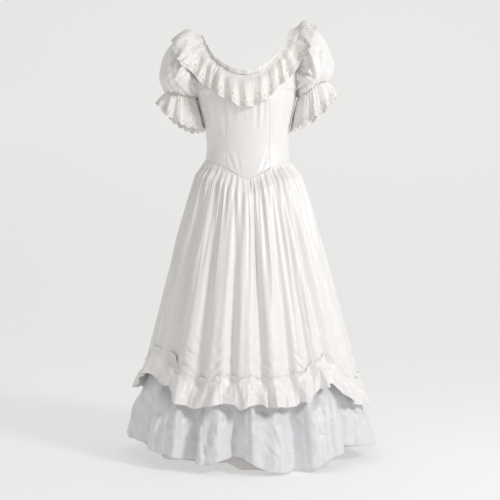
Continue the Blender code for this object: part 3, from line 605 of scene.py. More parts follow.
def lengths_along(points, axis):
    """Distance run along each line of a grid of points, from its first point."""
    steps = np.linalg.norm(np.diff(points, axis=axis), axis=-1)
    shape = list(points.shape[:2])
    shape[axis] = 1
    return np.concatenate([np.zeros(shape), np.cumsum(steps, axis=axis)], axis=axis)


def normals_of(points, closed=False):
    """Outward unit normals of a grid whose columns run with the turn and rows run down."""
    if closed:
        along = np.roll(points, -1, axis=1) - np.roll(points, 1, axis=1)
    else:
        along = np.gradient(points, axis=1)
    down = np.gradient(points, axis=0)
    normal = np.cross(down, along)
    size = np.linalg.norm(normal, axis=-1, keepdims=True)
    return normal / np.maximum(size, 1e-12)


def add_mesh(name, points, faces, look):
    mesh = bpy.data.meshes.new(name)
    mesh.from_pydata(points.reshape(-1, 3).tolist(), [], faces.tolist())
    mesh.update()
    mesh.materials.append(look)
    mesh.shade_smooth()
    piece = bpy.data.objects.new(name, mesh)
    bpy.context.scene.collection.objects.link(piece)
    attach(piece, "root")
    return piece


def cloth(name, points, slot, closed=False):
    """Make one sewn piece from its grid of outer points, with its cut's distances as its UVs."""
    hung = as_hung(points)
    rows, columns = hung.shape[:2]
    index = np.arange(rows * columns).reshape(rows, columns)
    beside = np.roll(index, -1, axis=1) if closed else index[:, 1:]
    index = index if closed else index[:, :-1]
    faces = np.stack([index[:-1], index[1:], beside[1:], beside[:-1]], axis=-1).reshape(-1, 4)
    piece = add_mesh(name + "_cloth", hung, faces, LOOKS[slot])

    ring = np.concatenate([hung, hung[:, :1]], axis=1) if closed else hung
    across = lengths_along(ring, 1)
    across = np.broadcast_to(across[np.argmax(across[:, -1])], across.shape)
    down = lengths_along(ring, 0)
    cut = np.stack([across, down], axis=-1)
    edge = np.stack([across, down[-1:] - down], axis=-1)
    for layer_name, grid in (("cut", cut), ("edge", edge)):
        layer = piece.data.uv_layers.new(name=layer_name)
        loops = np.stack([grid[:-1, :-1], grid[1:, :-1], grid[1:, 1:], grid[:-1, 1:]], axis=2)
        layer.data.foreach_set("uv", loops.reshape(-1).astype(np.float32))

    wall = piece.modifiers.new("wall", "SOLIDIFY")
    wall.thickness = THIN
    wall.offset = -1.0
    wall.use_rim = True
    piece.modifiers.new("even_shading", "WEIGHTED_NORMAL")
    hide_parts(name)
    return piece


def tube(name, line, radius, slot, closed=False, sides=5):
    """Rolled edge or cord along a line of points that already hang."""
    line = np.asarray(line)
    along = np.roll(line, -1, axis=0) - np.roll(line, 1, axis=0) if closed else np.gradient(line, axis=0)
    along /= np.maximum(np.linalg.norm(along, axis=1, keepdims=True), 1e-12)
    up = np.cross(along, np.array([0.0, 0.0, 1.0]))
    up /= np.maximum(np.linalg.norm(up, axis=1, keepdims=True), 1e-12)
    over = np.cross(along, up)
    angles = np.arange(sides) * 2.0 * math.pi / sides
    rings = line[:, None] + radius * (np.cos(angles)[None, :, None] * up[:, None]
                                      + np.sin(angles)[None, :, None] * over[:, None])
    count = len(line)
    index = np.arange(count * sides).reshape(count, sides)
    lengthways = np.roll(index, -1, axis=0) if closed else index[1:]
    index = index if closed else index[:-1]
    faces = np.stack([index, lengthways, np.roll(lengthways, -1, axis=1),
                      np.roll(index, -1, axis=1)], axis=-1).reshape(-1, 4)
    return add_mesh(name, rings, faces, LOOKS[slot])


def stitches(name, line, out, slot):
    """Row of short threads along a line of points that already hang, lying on the cloth."""
    run = np.concatenate([[0.0], np.cumsum(np.linalg.norm(np.diff(line, axis=0), axis=1))])
    starts = np.arange(STITCH_PITCH, run[-1] - STITCH_PITCH, STITCH_PITCH)
    sides, stations = 5, np.array([0.0, 0.15, 0.5, 0.85, 1.0])
    width = np.array([0.25, 0.85, 1.0, 0.85, 0.25]) * STITCH_RADIUS
    at = starts[:, None] + stations[None, :] * STITCH_LENGTH
    centre = np.stack([np.interp(at, run, line[:, k]) for k in range(3)], axis=-1)
    lift = np.stack([np.interp(at, run, out[:, k]) for k in range(3)], axis=-1)
    along = centre[:, -1:] - centre[:, :1]
    along = along / np.maximum(np.linalg.norm(along, axis=-1, keepdims=True), 1e-12)
    across = np.cross(lift, np.broadcast_to(along, lift.shape))
    angles = np.arange(sides) * 2.0 * math.pi / sides
    rings = (centre + lift * STITCH_RADIUS * 0.4)[:, :, None] + width[None, :, None, None] * (
        np.cos(angles)[None, None, :, None] * across[:, :, None]
        + np.sin(angles)[None, None, :, None] * lift[:, :, None])
    index = np.arange(rings[..., 0].size).reshape(len(starts), len(stations), sides)
    faces = np.stack([index[:, :-1], index[:, 1:], np.roll(index, -1, axis=2)[:, 1:],
                      np.roll(index, -1, axis=2)[:, :-1]], axis=-1).reshape(-1, 4)
    return add_mesh(name, rings, faces, LOOKS[slot])


# Materials


def node(tree, kind, **inputs):
    made = tree.nodes.new(kind)
    for key, value in inputs.items():
        socket = made.inputs[int(key[1:])] if key[1:].isdigit() else made.inputs[key.replace("_", " ")]
        if isinstance(value, bpy.types.NodeSocket):
            tree.links.new(value, socket)
        else:
            socket.default_value = value
    return made


def arithmetic(tree, operation, first, second=0.0):
    made = node(tree, "ShaderNodeMath", i0=first, i1=second)
    made.operation = operation
    return made.outputs[0]


def spread(tree, coordinates, scale):
    made = node(tree, "ShaderNodeVectorMath", i0=coordinates, i1=scale)
    made.operation = "MULTIPLY"
    return made.outputs[0]


def noise(tree, coordinates, scale, detail=2.0, distortion=0.0):
    made = node(tree, "ShaderNodeTexNoise", Vector=spread(tree, coordinates, scale), Scale=1.0,
                Detail=detail, Distortion=distortion)
    return made.outputs["Fac"]


def ramp(tree, value, low, high, low_color, high_color):
    made = node(tree, "ShaderNodeValToRGB", Fac=value)
    made.color_ramp.elements[0].position, made.color_ramp.elements[1].position = low, high
    made.color_ramp.elements[0].color = (*low_color, 1.0)
    made.color_ramp.elements[1].color = (*high_color, 1.0)
    return made.outputs["Color"]


def bump(tree, height, distance, strength=1.0, below=None):
    made = node(tree, "ShaderNodeBump", Height=height, Distance=distance, Strength=strength)
    if below is not None:
        tree.links.new(below, made.inputs["Normal"])
    return made.outputs["Normal"]


def weave(tree, cut, pitch):
    """Height of a plain weave, from two crossed waves along the cut."""
    count = 2.0 * math.pi / pitch
    scaled = spread(tree, cut, (count, count, 0.0))
    parts = node(tree, "ShaderNodeSeparateXYZ", Vector=scaled)
    warp = arithmetic(tree, "SINE", parts.outputs[0])
    weft = arithmetic(tree, "SINE", parts.outputs[1])
    return arithmetic(tree, "MULTIPLY", warp, weft)


def begin(name, sheen, specular, sheen_roughness=0.4):
    look = bpy.data.materials.new(name)
    look.use_nodes = True
    tree = look.node_tree
    shader = tree.nodes["Principled BSDF"]
    shader.inputs["Sheen Weight"].default_value = sheen
    shader.inputs["Sheen Roughness"].default_value = sheen_roughness
    shader.inputs["Specular IOR Level"].default_value = specular
    cut = node(tree, "ShaderNodeUVMap")
    cut.uv_map = "cut"
    return look, tree, shader, cut.outputs[0]


def satin_look():
    """Ivory satin with fine weft slubs, a soft gloss and small crushed creases."""
    look, tree, shader, cut = begin("satin", 0.20, 0.55)
    slub = noise(tree, cut, (26.0, 760.0, 0.0), 3.0)
    band = noise(tree, cut, (6.0, 90.0, 0.0), 3.0)
    tone = arithmetic(tree, "ADD", arithmetic(tree, "MULTIPLY", slub, 0.75),
                      arithmetic(tree, "MULTIPLY", band, 0.25))
    color = ramp(tree, tone, 0.30, 0.66, SATIN_SHADE, SATIN_LIGHT)
    tree.links.new(color, shader.inputs["Base Color"])
    rough = node(tree, "ShaderNodeMapRange", Value=tone, From_Min=0.3, From_Max=0.7,
                 To_Min=0.44, To_Max=0.33)
    tree.links.new(rough.outputs[0], shader.inputs["Roughness"])
    crush = noise(tree, cut, (42.0, 62.0, 0.0), 4.0, 0.8)
    normal = bump(tree, weave(tree, cut, 0.0007), 0.00004, 0.5)
    normal = bump(tree, slub, 0.00022, 0.5, normal)
    normal = bump(tree, crush, 0.0020, 0.40, normal)
    tree.links.new(normal, shader.inputs["Normal"])
    return look


def taffeta_look():
    """Cool crisp taffeta: straight slubs both ways and sharp crushed facets."""
    look, tree, shader, cut = begin("taffeta", 0.15, 0.6)
    weft = noise(tree, cut, (18.0, 620.0, 0.0), 3.0)
    warp = noise(tree, cut, (540.0, 14.0, 0.0), 2.0)
    tone = arithmetic(tree, "ADD", arithmetic(tree, "MULTIPLY", weft, 0.6),
                      arithmetic(tree, "MULTIPLY", warp, 0.4))
    color = ramp(tree, tone, 0.32, 0.66, TAFFETA_SHADE, TAFFETA_LIGHT)
    tree.links.new(color, shader.inputs["Base Color"])
    rough = node(tree, "ShaderNodeMapRange", Value=tone, From_Min=0.3, From_Max=0.7,
                 To_Min=0.46, To_Max=0.34)
    tree.links.new(rough.outputs[0], shader.inputs["Roughness"])
    facets = node(tree, "ShaderNodeTexVoronoi", Vector=spread(tree, cut, (22.0, 15.0, 0.0)),
                  Scale=1.0)
    facets.feature = "SMOOTH_F1"
    crush = noise(tree, cut, (30.0, 38.0, 0.0), 5.0, 1.2)
    normal = bump(tree, weave(tree, cut, 0.0006), 0.00004, 0.5)
    normal = bump(tree, weft, 0.00025, 0.6, normal)
    normal = bump(tree, facets.outputs["Distance"], 0.0035, 0.22, normal)
    normal = bump(tree, crush, 0.0024, 0.45, normal)
    tree.links.new(normal, shader.inputs["Normal"])
    return look


def lace_look():
    """Cream cotton lace: a fine net with worked sprigs, and rows of eyelets along its edge. The net's
    holes and the eyelets are not cut through; they are painted darker, as painted shade.
    """
    look, tree, shader, cut = begin("lace", 0.10, 0.25)
    edge = node(tree, "ShaderNodeUVMap")
    edge.uv_map = "edge"
    place = node(tree, "ShaderNodeSeparateXYZ", Vector=edge.outputs[0])
    rings = None
    for pitch, rise, radius in EYELET_ROWS:
        across = arithmetic(tree, "FRACT", arithmetic(tree, "DIVIDE", place.outputs[0], pitch))
        across = arithmetic(tree, "MULTIPLY", arithmetic(tree, "SUBTRACT", across, 0.5), pitch)
        up = arithmetic(tree, "SUBTRACT", place.outputs[1], rise)
        far = arithmetic(tree, "SQRT", arithmetic(
            tree, "ADD", arithmetic(tree, "MULTIPLY", across, across),
            arithmetic(tree, "MULTIPLY", up, up)))
        share = arithmetic(tree, "DIVIDE", far, radius)
        rings = share if rings is None else arithmetic(tree, "MINIMUM", rings, share)
    # Eyelet mask: it dents the bump, and paints the eyelets dark as painted shade.
    eyelet_dip_and_painted_shade = node(tree, "ShaderNodeMapRange", Value=rings, From_Min=0.75, From_Max=1.05,
                To_Min=1.0, To_Max=0.0).outputs[0]
    bead = node(tree, "ShaderNodeMapRange", Value=rings, From_Min=1.0, From_Max=2.0,
                To_Min=1.0, To_Max=0.0).outputs[0]
    net = node(tree, "ShaderNodeTexVoronoi", Vector=spread(tree, cut, (430.0, 430.0, 0.0)),
               Scale=1.0, Randomness=0.35)
    sprig = noise(tree, cut, (95.0, 70.0, 0.0), 3.0, 1.6)
    worked = node(tree, "ShaderNodeMapRange", Value=sprig, From_Min=0.50, From_Max=0.58)
    cell = arithmetic(tree, "MULTIPLY", net.outputs["Distance"],
                      arithmetic(tree, "SUBTRACT", 1.0, worked.outputs[0]))
    # Net colour: the threads are light, and the recessed holes between them get painted shade.
    net_with_painted_hole_shade = ramp(tree, cell, 0.05, 0.55, LACE_LIGHT, LACE_NET_HOLE_PAINTED_SHADE)
    color = node(tree, "ShaderNodeMix", Factor=eyelet_dip_and_painted_shade)
    color.data_type = "RGBA"
    tree.links.new(net_with_painted_hole_shade, color.inputs[6])
    color.inputs[7].default_value = (*LACE_EYELET_PAINTED_SHADE, 1.0)
    tree.links.new(color.outputs[2], shader.inputs["Base Color"])
    shader.inputs["Roughness"].default_value = 0.85
    normal = bump(tree, arithmetic(tree, "SUBTRACT", 1.0, cell), 0.0006, 0.8)
    normal = bump(tree, worked.outputs[0], 0.0005, 0.6, normal)
    normal = bump(tree, arithmetic(tree, "SUBTRACT", bead, eyelet_dip_and_painted_shade), 0.0012, 0.8, normal)
    tree.links.new(normal, shader.inputs["Normal"])
    return look


def undercloth_look():
    """Matte lining in a plain weave."""
    look, tree, shader, cut = begin("undercloth", 0.05, 0.3)
    weft = noise(tree, cut, (20.0, 300.0, 0.0), 3.0)
    color = ramp(tree, weft, 0.3, 0.7, UNDERCLOTH_SHADE, UNDERCLOTH_LIGHT)
    tree.links.new(color, shader.inputs["Base Color"])
    rough = node(tree, "ShaderNodeMapRange", Value=weft, To_Min=0.66, To_Max=0.78)
    tree.links.new(rough.outputs[0], shader.inputs["Roughness"])
    normal = bump(tree, weave(tree, cut, 0.0009), 0.00008, 0.6)
    normal = bump(tree, noise(tree, cut, (30.0, 24.0, 0.0), 3.0), 0.0015, 0.4, normal)
    tree.links.new(normal, shader.inputs["Normal"])
    return look


LOOKS = {"satin": satin_look(), "taffeta": taffeta_look(), "lace": lace_look(),
         "undercloth": undercloth_look()}


# Bodice


def armhole_edge(drop):
    """Half the armhole's width from front to back at a drop."""
    half = ARMHOLE_HEIGHT / 2
    inside = np.maximum(0.0, 1.0 - ((drop - half) / half) ** 2)
    return np.maximum(np.where(drop < half, CREST_HALF_GAP, 0.0), ARMHOLE_DEPTH * np.sqrt(inside))


def torso(side, around, drop, face):
    """Points of the bodice: around is 0 at the centre line and 90 at the side, face -1 in front."""
    half_width = read(TORSO, "drop", "half_width", drop)
    depth = np.where(face < 0, read(TORSO, "drop", "front", drop), read(TORSO, "drop", "back", drop))
    taper = read(TORSO, "drop", "taper", drop)
    edge = np.where(drop < ARMHOLE_HEIGHT, np.minimum(depth, armhole_edge(drop)), 0.0)
    x = half_width * np.sin(np.radians(around))
    turned = np.maximum(0.0, np.cos(np.radians(around)))
    y = edge + (depth - edge) * turned ** taper
    far = ((np.abs(x) - BUST.x) / BUST.spread_x) ** 2
    far = far + ((drop - BUST.drop) / BUST.spread_drop) ** 2
    y = y + np.where(face < 0, BUST.rise * np.exp(-far) * np.cos(np.radians(around)), 0.0)
    return points_of(side * x, face * y, -drop)


def around_at(x, drop):
    half_width = read(TORSO, "drop", "half_width", drop)
    return np.degrees(np.arcsin(np.clip(x / half_width, -1.0, 1.0)))


def neck_drop(away, face):
    return read(NECKLINE, "away", "drop", away) * np.where(face < 0, 1.0, BACK_NECK_SCALE)


NECK_AWAYS = np.linspace(0.0, 90.0, 1801)


def neck_half_width(drop, face):
    """Half the neckline's width at a drop, or the princess seam below it."""
    drops = neck_drop(NECK_AWAYS, face)
    away = np.interp(drop, drops, NECK_AWAYS)
    width = read(NECKLINE, "away", "half_width", away)
    return np.where(drop >= neck_drop(PRINCESS_AWAY, face), PRINCESS_X, width)


def neck_drop_at(x, face):
    widths = read(NECKLINE, "away", "half_width", NECK_AWAYS)
    away = np.interp(np.abs(x), widths[::-1], NECK_AWAYS[::-1])
    return neck_drop(away, face)


def basque(around, face):
    """Drop of the pointed waist seam."""
    return read(BASQUE, "turn", "drop", around if face < 0 else 180.0 - around)


def centre_panel(name, low, high, face, columns):
    """Panel between two distances from the centre line, from the neckline to the waist."""
    x = np.linspace(low, high, columns + 1)[None, :]
    top = neck_drop_at(x, face)
    bottom = basque(np.abs(around_at(x, WAIST_DROP)), face) - SEAM_GAP / 2
    drop = blend(top, bottom, np.linspace(0.0, 1.0, PANEL_ROWS + 1)[:, None])
    points = torso(1, around_at(x, drop), drop, face)
    points = panel_creases(points, np.broadcast_to(x, drop.shape), drop, low, high, face)
    return cloth(name, points if face < 0 else points[:, ::-1], "satin")


def side_panel(name, side, face):
    """Panel from the princess seam to the side seam, with its half of the shoulder strap."""
    strap_end = neck_drop(PRINCESS_AWAY, face)
    strap = strap_end * (np.linspace(0.0, 1.0, STRAP_FINE + 1) ** 1.4)
    share = np.linspace(0.0, 1.0, SIDE_FINE + 1)[None, :]
    seam = blend(around_at(PRINCESS_X, WAIST_DROP), 90.0, share)
    bottom = basque(seam, face) - SEAM_GAP / 2
    upper = np.broadcast_to(strap[:, None], (len(strap), share.shape[1]))
    lower = blend(strap_end, bottom, np.linspace(0.0, 1.0, PANEL_ROWS + 1)[1:, None])
    drop = np.concatenate([upper, lower])
    near = around_at(neck_half_width(drop, face) + SEAM_GAP / 2, drop)
    depth = read(TORSO, "drop", "front" if face < 0 else "back", drop)
    far = 90.0 - np.degrees(SEAM_GAP / 2 / np.maximum(depth, 0.03))
    points = torso(side, blend(near, far, share), drop, face)
    points = panel_creases(points, np.abs(points[..., 0]), drop, PRINCESS_X, SIDE_X, face)
    return cloth(name, points if side * face < 0 else points[:, ::-1], "satin")


def panel_creases(points, across, drop, low, high, face):
    """Soft folds below the neck ruffle and faint cross creases, flat along every seam."""
    inside = np.minimum(across - low, high - across) / 0.012
    waist = (basque(around_at(np.abs(across), WAIST_DROP), face) - drop) / 0.025
    calm = smooth_step(inside) * smooth_step(waist)
    folds = PANEL_FOLD * creases(across / 0.030, drop / 0.20, 5 + face)
    folds = folds * smooth_step((0.34 - drop) / 0.12) * smooth_step((drop - 0.12) / 0.05)
    cross = PANEL_CROSS_CREASE * creases(across / 0.085 + drop / 0.2, drop / 0.030, 21 + face)
    cross = cross * smooth_step((drop - 0.25) / 0.06)
    out = normals_of(points)
    out = out * np.sign(out[..., 1:2] * face + 1e-9)
    drawn = drawn_creases(points, BODICE_CREASES, face) if face < 0 else 0.0
    return points + out * ((folds + cross + drawn) * calm)[..., None]


def make_bodice():
    half = SEAM_GAP / 2
    edge = PRINCESS_X - half
    pieces = [centre_panel("bodice_centre_front", -edge, edge, -1, 60)]
    pieces.append(centre_panel("bodice_back_left", -edge, -half, 1, 24))
    pieces.append(centre_panel("bodice_back_right", half, edge, 1, 24))
    for side, name in ((-1, "left"), (1, "right")):
        pieces.append(side_panel("bodice_side_front_" + name, side, -1))
        pieces.append(side_panel("bodice_side_back_" + name, side, 1))
    column = PRINCESS_X / CENTRE_COLUMNS
    x = np.linspace(column, -column, 9)[None, :]
    top = neck_drop_at(x, 1)
    bottom = basque(np.abs(around_at(x, WAIST_DROP)), 1)
    drop = blend(top, bottom, np.linspace(1.0 / BODICE_ROWS, PLACKET_END, 70)[:, None])
    points = torso(1, around_at(x, drop), drop, 1) + np.array([0.0, WALL + LAYER_GAP, 0.0])
    pieces.append(cloth("back_placket", points, "satin"))
    return pieces


# Sleeves


def armhole(side, turn):
    drop = ARMHOLE_HEIGHT / 2 * (1.0 - np.cos(np.radians(turn)))
    out = read(TORSO, "drop", "half_width", drop) + SEAM_GAP
    return points_of(side * out, -ARMHOLE_DEPTH * np.sin(np.radians(turn)), -drop)


def sleeve_ring(side, turn, x, drop, tilt, radii):
    out = radii[0] * np.cos(np.radians(turn))
    forth = radii[1] * np.sin(np.radians(turn))
    lean = math.radians(tilt)
    return points_of(side * (x + out * math.cos(lean)), -forth, -drop + out * math.sin(lean))


def puff(sleeve, turn, share):
    """Points of a puff sleeve, from the armhole to the cuff, before its gathers."""
    folded = np.abs(wrap(turn))
    front = np.where(wrap(turn) >= 0.0, 1.0, -1.0)
    head = armhole(sleeve.side, turn)
    cuff = sleeve_ring(sleeve.side, turn, sleeve.cuff_x, sleeve.cuff_drop,
                       sleeve.cuff_tilt, CUFF_RING)
    ends = []
    for end in ("head", "cuff"):
        out = read(PUFF, "turn", end + "_out", folded) * sleeve.side
        forth = -front * read(PUFF, "turn", end + "_forth", folded)
        ends.append(points_of(out, forth, read(PUFF, "turn", end + "_rise", folded)))
    share = share[..., None]
    left = 1.0 - share
    return (head * left**3 + (head + ends[0]) * 3 * left**2 * share
            + (cuff + ends[1]) * 3 * left * share**2 + cuff * share**3)


def puff_gather(turn, share):
    """Height of the gathers at a puff's two ends and of its broad creases."""
    top = np.maximum(0.0, 0.5 + 0.6 * np.cos(np.radians(turn)))
    gathers = 0.0
    for end in PUFF_GATHER_SHARES:
        gathers = gathers + np.exp(-((share - end) / PUFF_GATHER_LENGTH) ** 2)
    gathers = gathers * PUFF_GATHER_RISE * np.cos(np.radians(turn * PUFF_GATHERS))
    crease = np.sin(np.radians(turn * PUFF_CREASES + PUFF_CREASE_TWIST * share))
    crease = crease * PUFF_CREASE_RISE * np.sin(math.pi * share)
    return top * (gathers + crease)


def puff_creases(turn, share, seed):
    """Deep soft creases that run from a puff's ends and cross its middle."""
    ends = 1.0 - smooth_step(share / 0.45) * smooth_step((1.0 - share) / 0.55)
    calm = smooth_step(share / 0.03) * smooth_step((1.0 - share) / 0.03)
    lengthwise = creases(turn / 19.0 + 1.4 * share, share * 1.8, seed)
    fine = creases(turn / 8.0, share * 2.6, seed + 5) * ends
    slant = creases(turn / 46.0 + 2.4 * share, share * 2.2 - turn / 70.0, seed + 9)
    return calm * (PUFF_LONG_CREASE * lengthwise + PUFF_FINE_CREASE * fine
                   + PUFF_SLANT_CREASE * slant)


def make_sleeve(sleeve, seed):
    turn = (-sleeve.side * np.linspace(0.0, 360.0, PUFF_FINE, endpoint=False))[None, :]
    share = np.linspace(0.0, 1.0, PUFF_FINE_ROWS)[:, None]
    turn, share = np.broadcast_arrays(turn, share)
    points = puff(sleeve, turn, share)
    points = points + normals_of(points, True) * puff_gather(turn, share)[..., None]
    points = points + normals_of(points, True) * puff_creases(wrap(turn), share, seed)[..., None]
    drawn = drawn_creases(points, PUFF_CREASE_LINES, -1)
    calm = smooth_step(share / 0.04) * smooth_step((1.0 - share) / 0.04)
    points = points + normals_of(points, True) * (drawn * calm)[..., None]
    return cloth("puff_sleeve_" + sleeve.name, points, "satin", closed=True)


def cuff_ruffle(sleeve, turn, share):
    """Points of a lace cuff, which flares from the puff's gathered end."""
    start = sleeve_ring(sleeve.side, turn, sleeve.cuff_x, sleeve.cuff_drop + CUFF_GAP,
                        sleeve.cuff_tilt, CUFF_RING)
    end = sleeve_ring(sleeve.side, turn, sleeve.hem_x, sleeve.hem_drop,
                      sleeve.hem_tilt, CUFF_HEM_RING)
    swell = CUFF_SWELL * np.sin(math.pi * share)
    sag = sleeve.hem_sag * np.sin(np.radians(turn)) ** 2 * share
    return start + (end - start) * share[..., None] + points_of(0.0, 0.0, swell - sag)


def scallops(run, pitch, depth):
    """How far a scalloped edge is drawn up from its lowest line."""
    return depth * (1.0 - np.abs(np.sin(math.pi * run / pitch))) ** 1.6


def make_cuff(sleeve, under, seed):
    turn = (-sleeve.side * np.linspace(0.0, 360.0, CUFF_FINE, endpoint=False))[None, :]
    share = np.linspace(0.0, 1.0, CUFF_FINE_ROWS)[:, None]
    edge = cuff_ruffle(sleeve, turn, np.ones_like(turn))
    run = lengths_along(edge, 1)[-1:]
    count = round(float(run[0, -1]) / SCALLOP_PITCH)
    drawn = scallops(run * count / run[0, -1], 1.0, SCALLOP_DEPTH) / CUFF_LENGTH
    share = share * (1.0 - drawn * smooth_step((share - 0.7) / 0.3))
    turn, share = np.broadcast_arrays(turn, share)
    points = cuff_ruffle(sleeve, turn, share)
    out = normals_of(points, True)
    free = 0.55 + 0.45 * np.cos(np.radians(turn))
    swing = CUFF_SWING_TURN * rumple(turn / 40.0, share * 1.5, seed)
    wave = CUFF_WAVE * share ** 1.2 * np.cos(np.radians(turn * CUFF_WAVES + swing)) * free
    small = CUFF_GATHER * np.cos(np.radians(turn * CUFF_WAVES * 3.0)) * np.exp(-share / 0.35)
    small = small * smooth_step(share / 0.05)
    fine = CUFF_CRINKLE * creases(turn / 11.0, share * 2.4, seed + 3) * smooth_step(share / 0.2)
    points = points + out * (wave + small + fine)[..., None]
    shape = points.shape
    points = np.array([keep_outside(point, under, CUFF_CLEARANCE)
                       for point in points.reshape(-1, 3)]).reshape(shape)
    points[0] = cuff_ruffle(sleeve, turn[0], share[0])
    piece = cloth("cuff_ruffle_" + sleeve.name, points, "lace", closed=True)
    tube("cuff_edge_" + sleeve.name, as_hung(points[-1]), ROLL_RADIUS * 0.8, "lace", closed=True)
    return piece


# Neck ruffle


def tree_of(pieces):
    """Search tree of the outer faces of pieces as they hang."""
    points, faces = [], []
    for piece in pieces:
        start = len(points)
        points.extend(vertex.co.copy() for vertex in piece.data.vertices)
        faces.extend(tuple(start + index for index in face.vertices) for face in piece.data.polygons)
    return BVHTree.FromPolygons(points, faces)


def keep_outside(point, tree, clearance):
    """Move a point out until it clears the outer faces below it."""
    hung = Vector(as_hung(point))
    for _ in range(4):
        near, normal, _, distance = tree.find_nearest(hung)
        height = (hung - near).dot(normal)
        if height >= clearance or distance > 0.06:
            break
        hung = hung + normal * (clearance - height)
    return unhung(np.array(hung))


def neckline(turn):
    """Points of the neckline, and the way that cloth falls from it in plan."""
    turn = wrap(turn)
    face = np.where(np.abs(turn) < 90.0, -1, 1)
    side = np.where(turn >= 0.0, 1, -1)
    away = np.abs(90.0 - np.abs(turn))
    x = read(NECKLINE, "away", "half_width", away)
    drop = neck_drop(away, face)
    point = torso(side, around_at(x, drop), drop, face)
    plan = np.radians(read(NECK_FALL, "away", "plan", away))
    return point, points_of(side * np.cos(plan), face * np.sin(plan), 0.0), away


def neck_fall(turn, fall):
    """Points of the neck ruffle's middle surface, a distance below the neckline."""
    point, out, away = neckline(turn)
    start = read(NECK_FALL, "away", "start", away)
    end = read(NECK_FALL, "away", "end", away)
    up = np.array([0.0, 0.0, 1.0])
    heading = point + (out * HEADING_LEAN + up) * np.maximum(0.0, -fall)[..., None]
    pitch = np.radians(blend(start, end, 0.5 * fall / NECK_FALL_LENGTH))
    reach = read(NECK_FALL, "away", "reach", away)
    right = blend(RIGHT_SHOULDER_REACH, 1.0, smooth_step(away / REACH_BLEND))
    reach = reach * np.where(out[..., 0] > 0.0, right, 1.0)
    length = fall * blend(1.0, reach, smooth_step(fall / NECK_FALL_LENGTH))
    way = out * np.cos(pitch)[..., None] - up * np.sin(pitch)[..., None]
    return np.where((fall < 0.0)[..., None], heading, point + way * length[..., None])


def even_turns(first, last, count):
    """Turns of columns that are evenly spaced a part of the way down the ruffle."""
    turns = np.linspace(first, last, 4001)
    line = neck_fall(turns, np.full_like(turns, EVEN_AT * NECK_FALL_LENGTH))
    run = np.concatenate([[0.0], np.cumsum(np.linalg.norm(np.diff(line, axis=0), axis=1))])
    return np.interp(np.linspace(0.0, run[-1], count + 1), run, turns)


def hearts(turn):
    """Points inside the dress from which the neck ruffle's rows are pushed out."""
    side = np.where(wrap(turn) >= 0.0, 1.0, -1.0)
    near = 1.0 - smooth_step(neckline(turn)[2] / HEART_MOVES_UNTIL)
    drop = blend(CHEST_HEART, SHOULDER_HEART[1], near)
    return points_of(side * SHOULDER_HEART[0] * near, 0.0, -drop)


def keep_over(points, centres, tree, lift):
    """Move points out along their lines from a centre until they clear all that they cross."""
    shape = points.shape
    hung = as_hung(points).reshape(-1, 3)
    starts = as_hung(np.broadcast_to(centres, shape)).reshape(-1, 3)
    lifts = np.broadcast_to(lift, shape[:-1]).reshape(-1)
    placed = np.empty_like(hung)
    for k in range(len(hung)):
        start = Vector(starts[k])
        way = Vector(hung[k]) - start
        reach = way.length
        way.normalize()
        place = start
        while True:
            hit = tree.ray_cast(place, way, 0.4)[0]
            if hit is None:
                break
            reach = max(reach, (hit - start).length + lifts[k])
            place = hit + way * 0.0001
        placed[k] = start + way * reach
    return unhung(placed.reshape(shape))


def soften(points, spread_columns):
    """Even out each row over a number of columns, with its two ends held."""
    reach = int(3 * spread_columns)
    kernel = np.exp(-0.5 * (np.arange(-reach, reach + 1) / spread_columns) ** 2)
    kernel /= kernel.sum()
    first, last = points[:, :1], points[:, -1:]
    before = 2.0 * first - points[:, reach:0:-1]
    after = 2.0 * last - points[:, -2:-reach - 2:-1]
    padded = np.concatenate([before, points, after], axis=1)
    softened = np.empty_like(points)
    for i in range(points.shape[0]):
        for k in range(3):
            softened[i, :, k] = np.convolve(padded[i, :, k], kernel, mode="valid")
    return softened


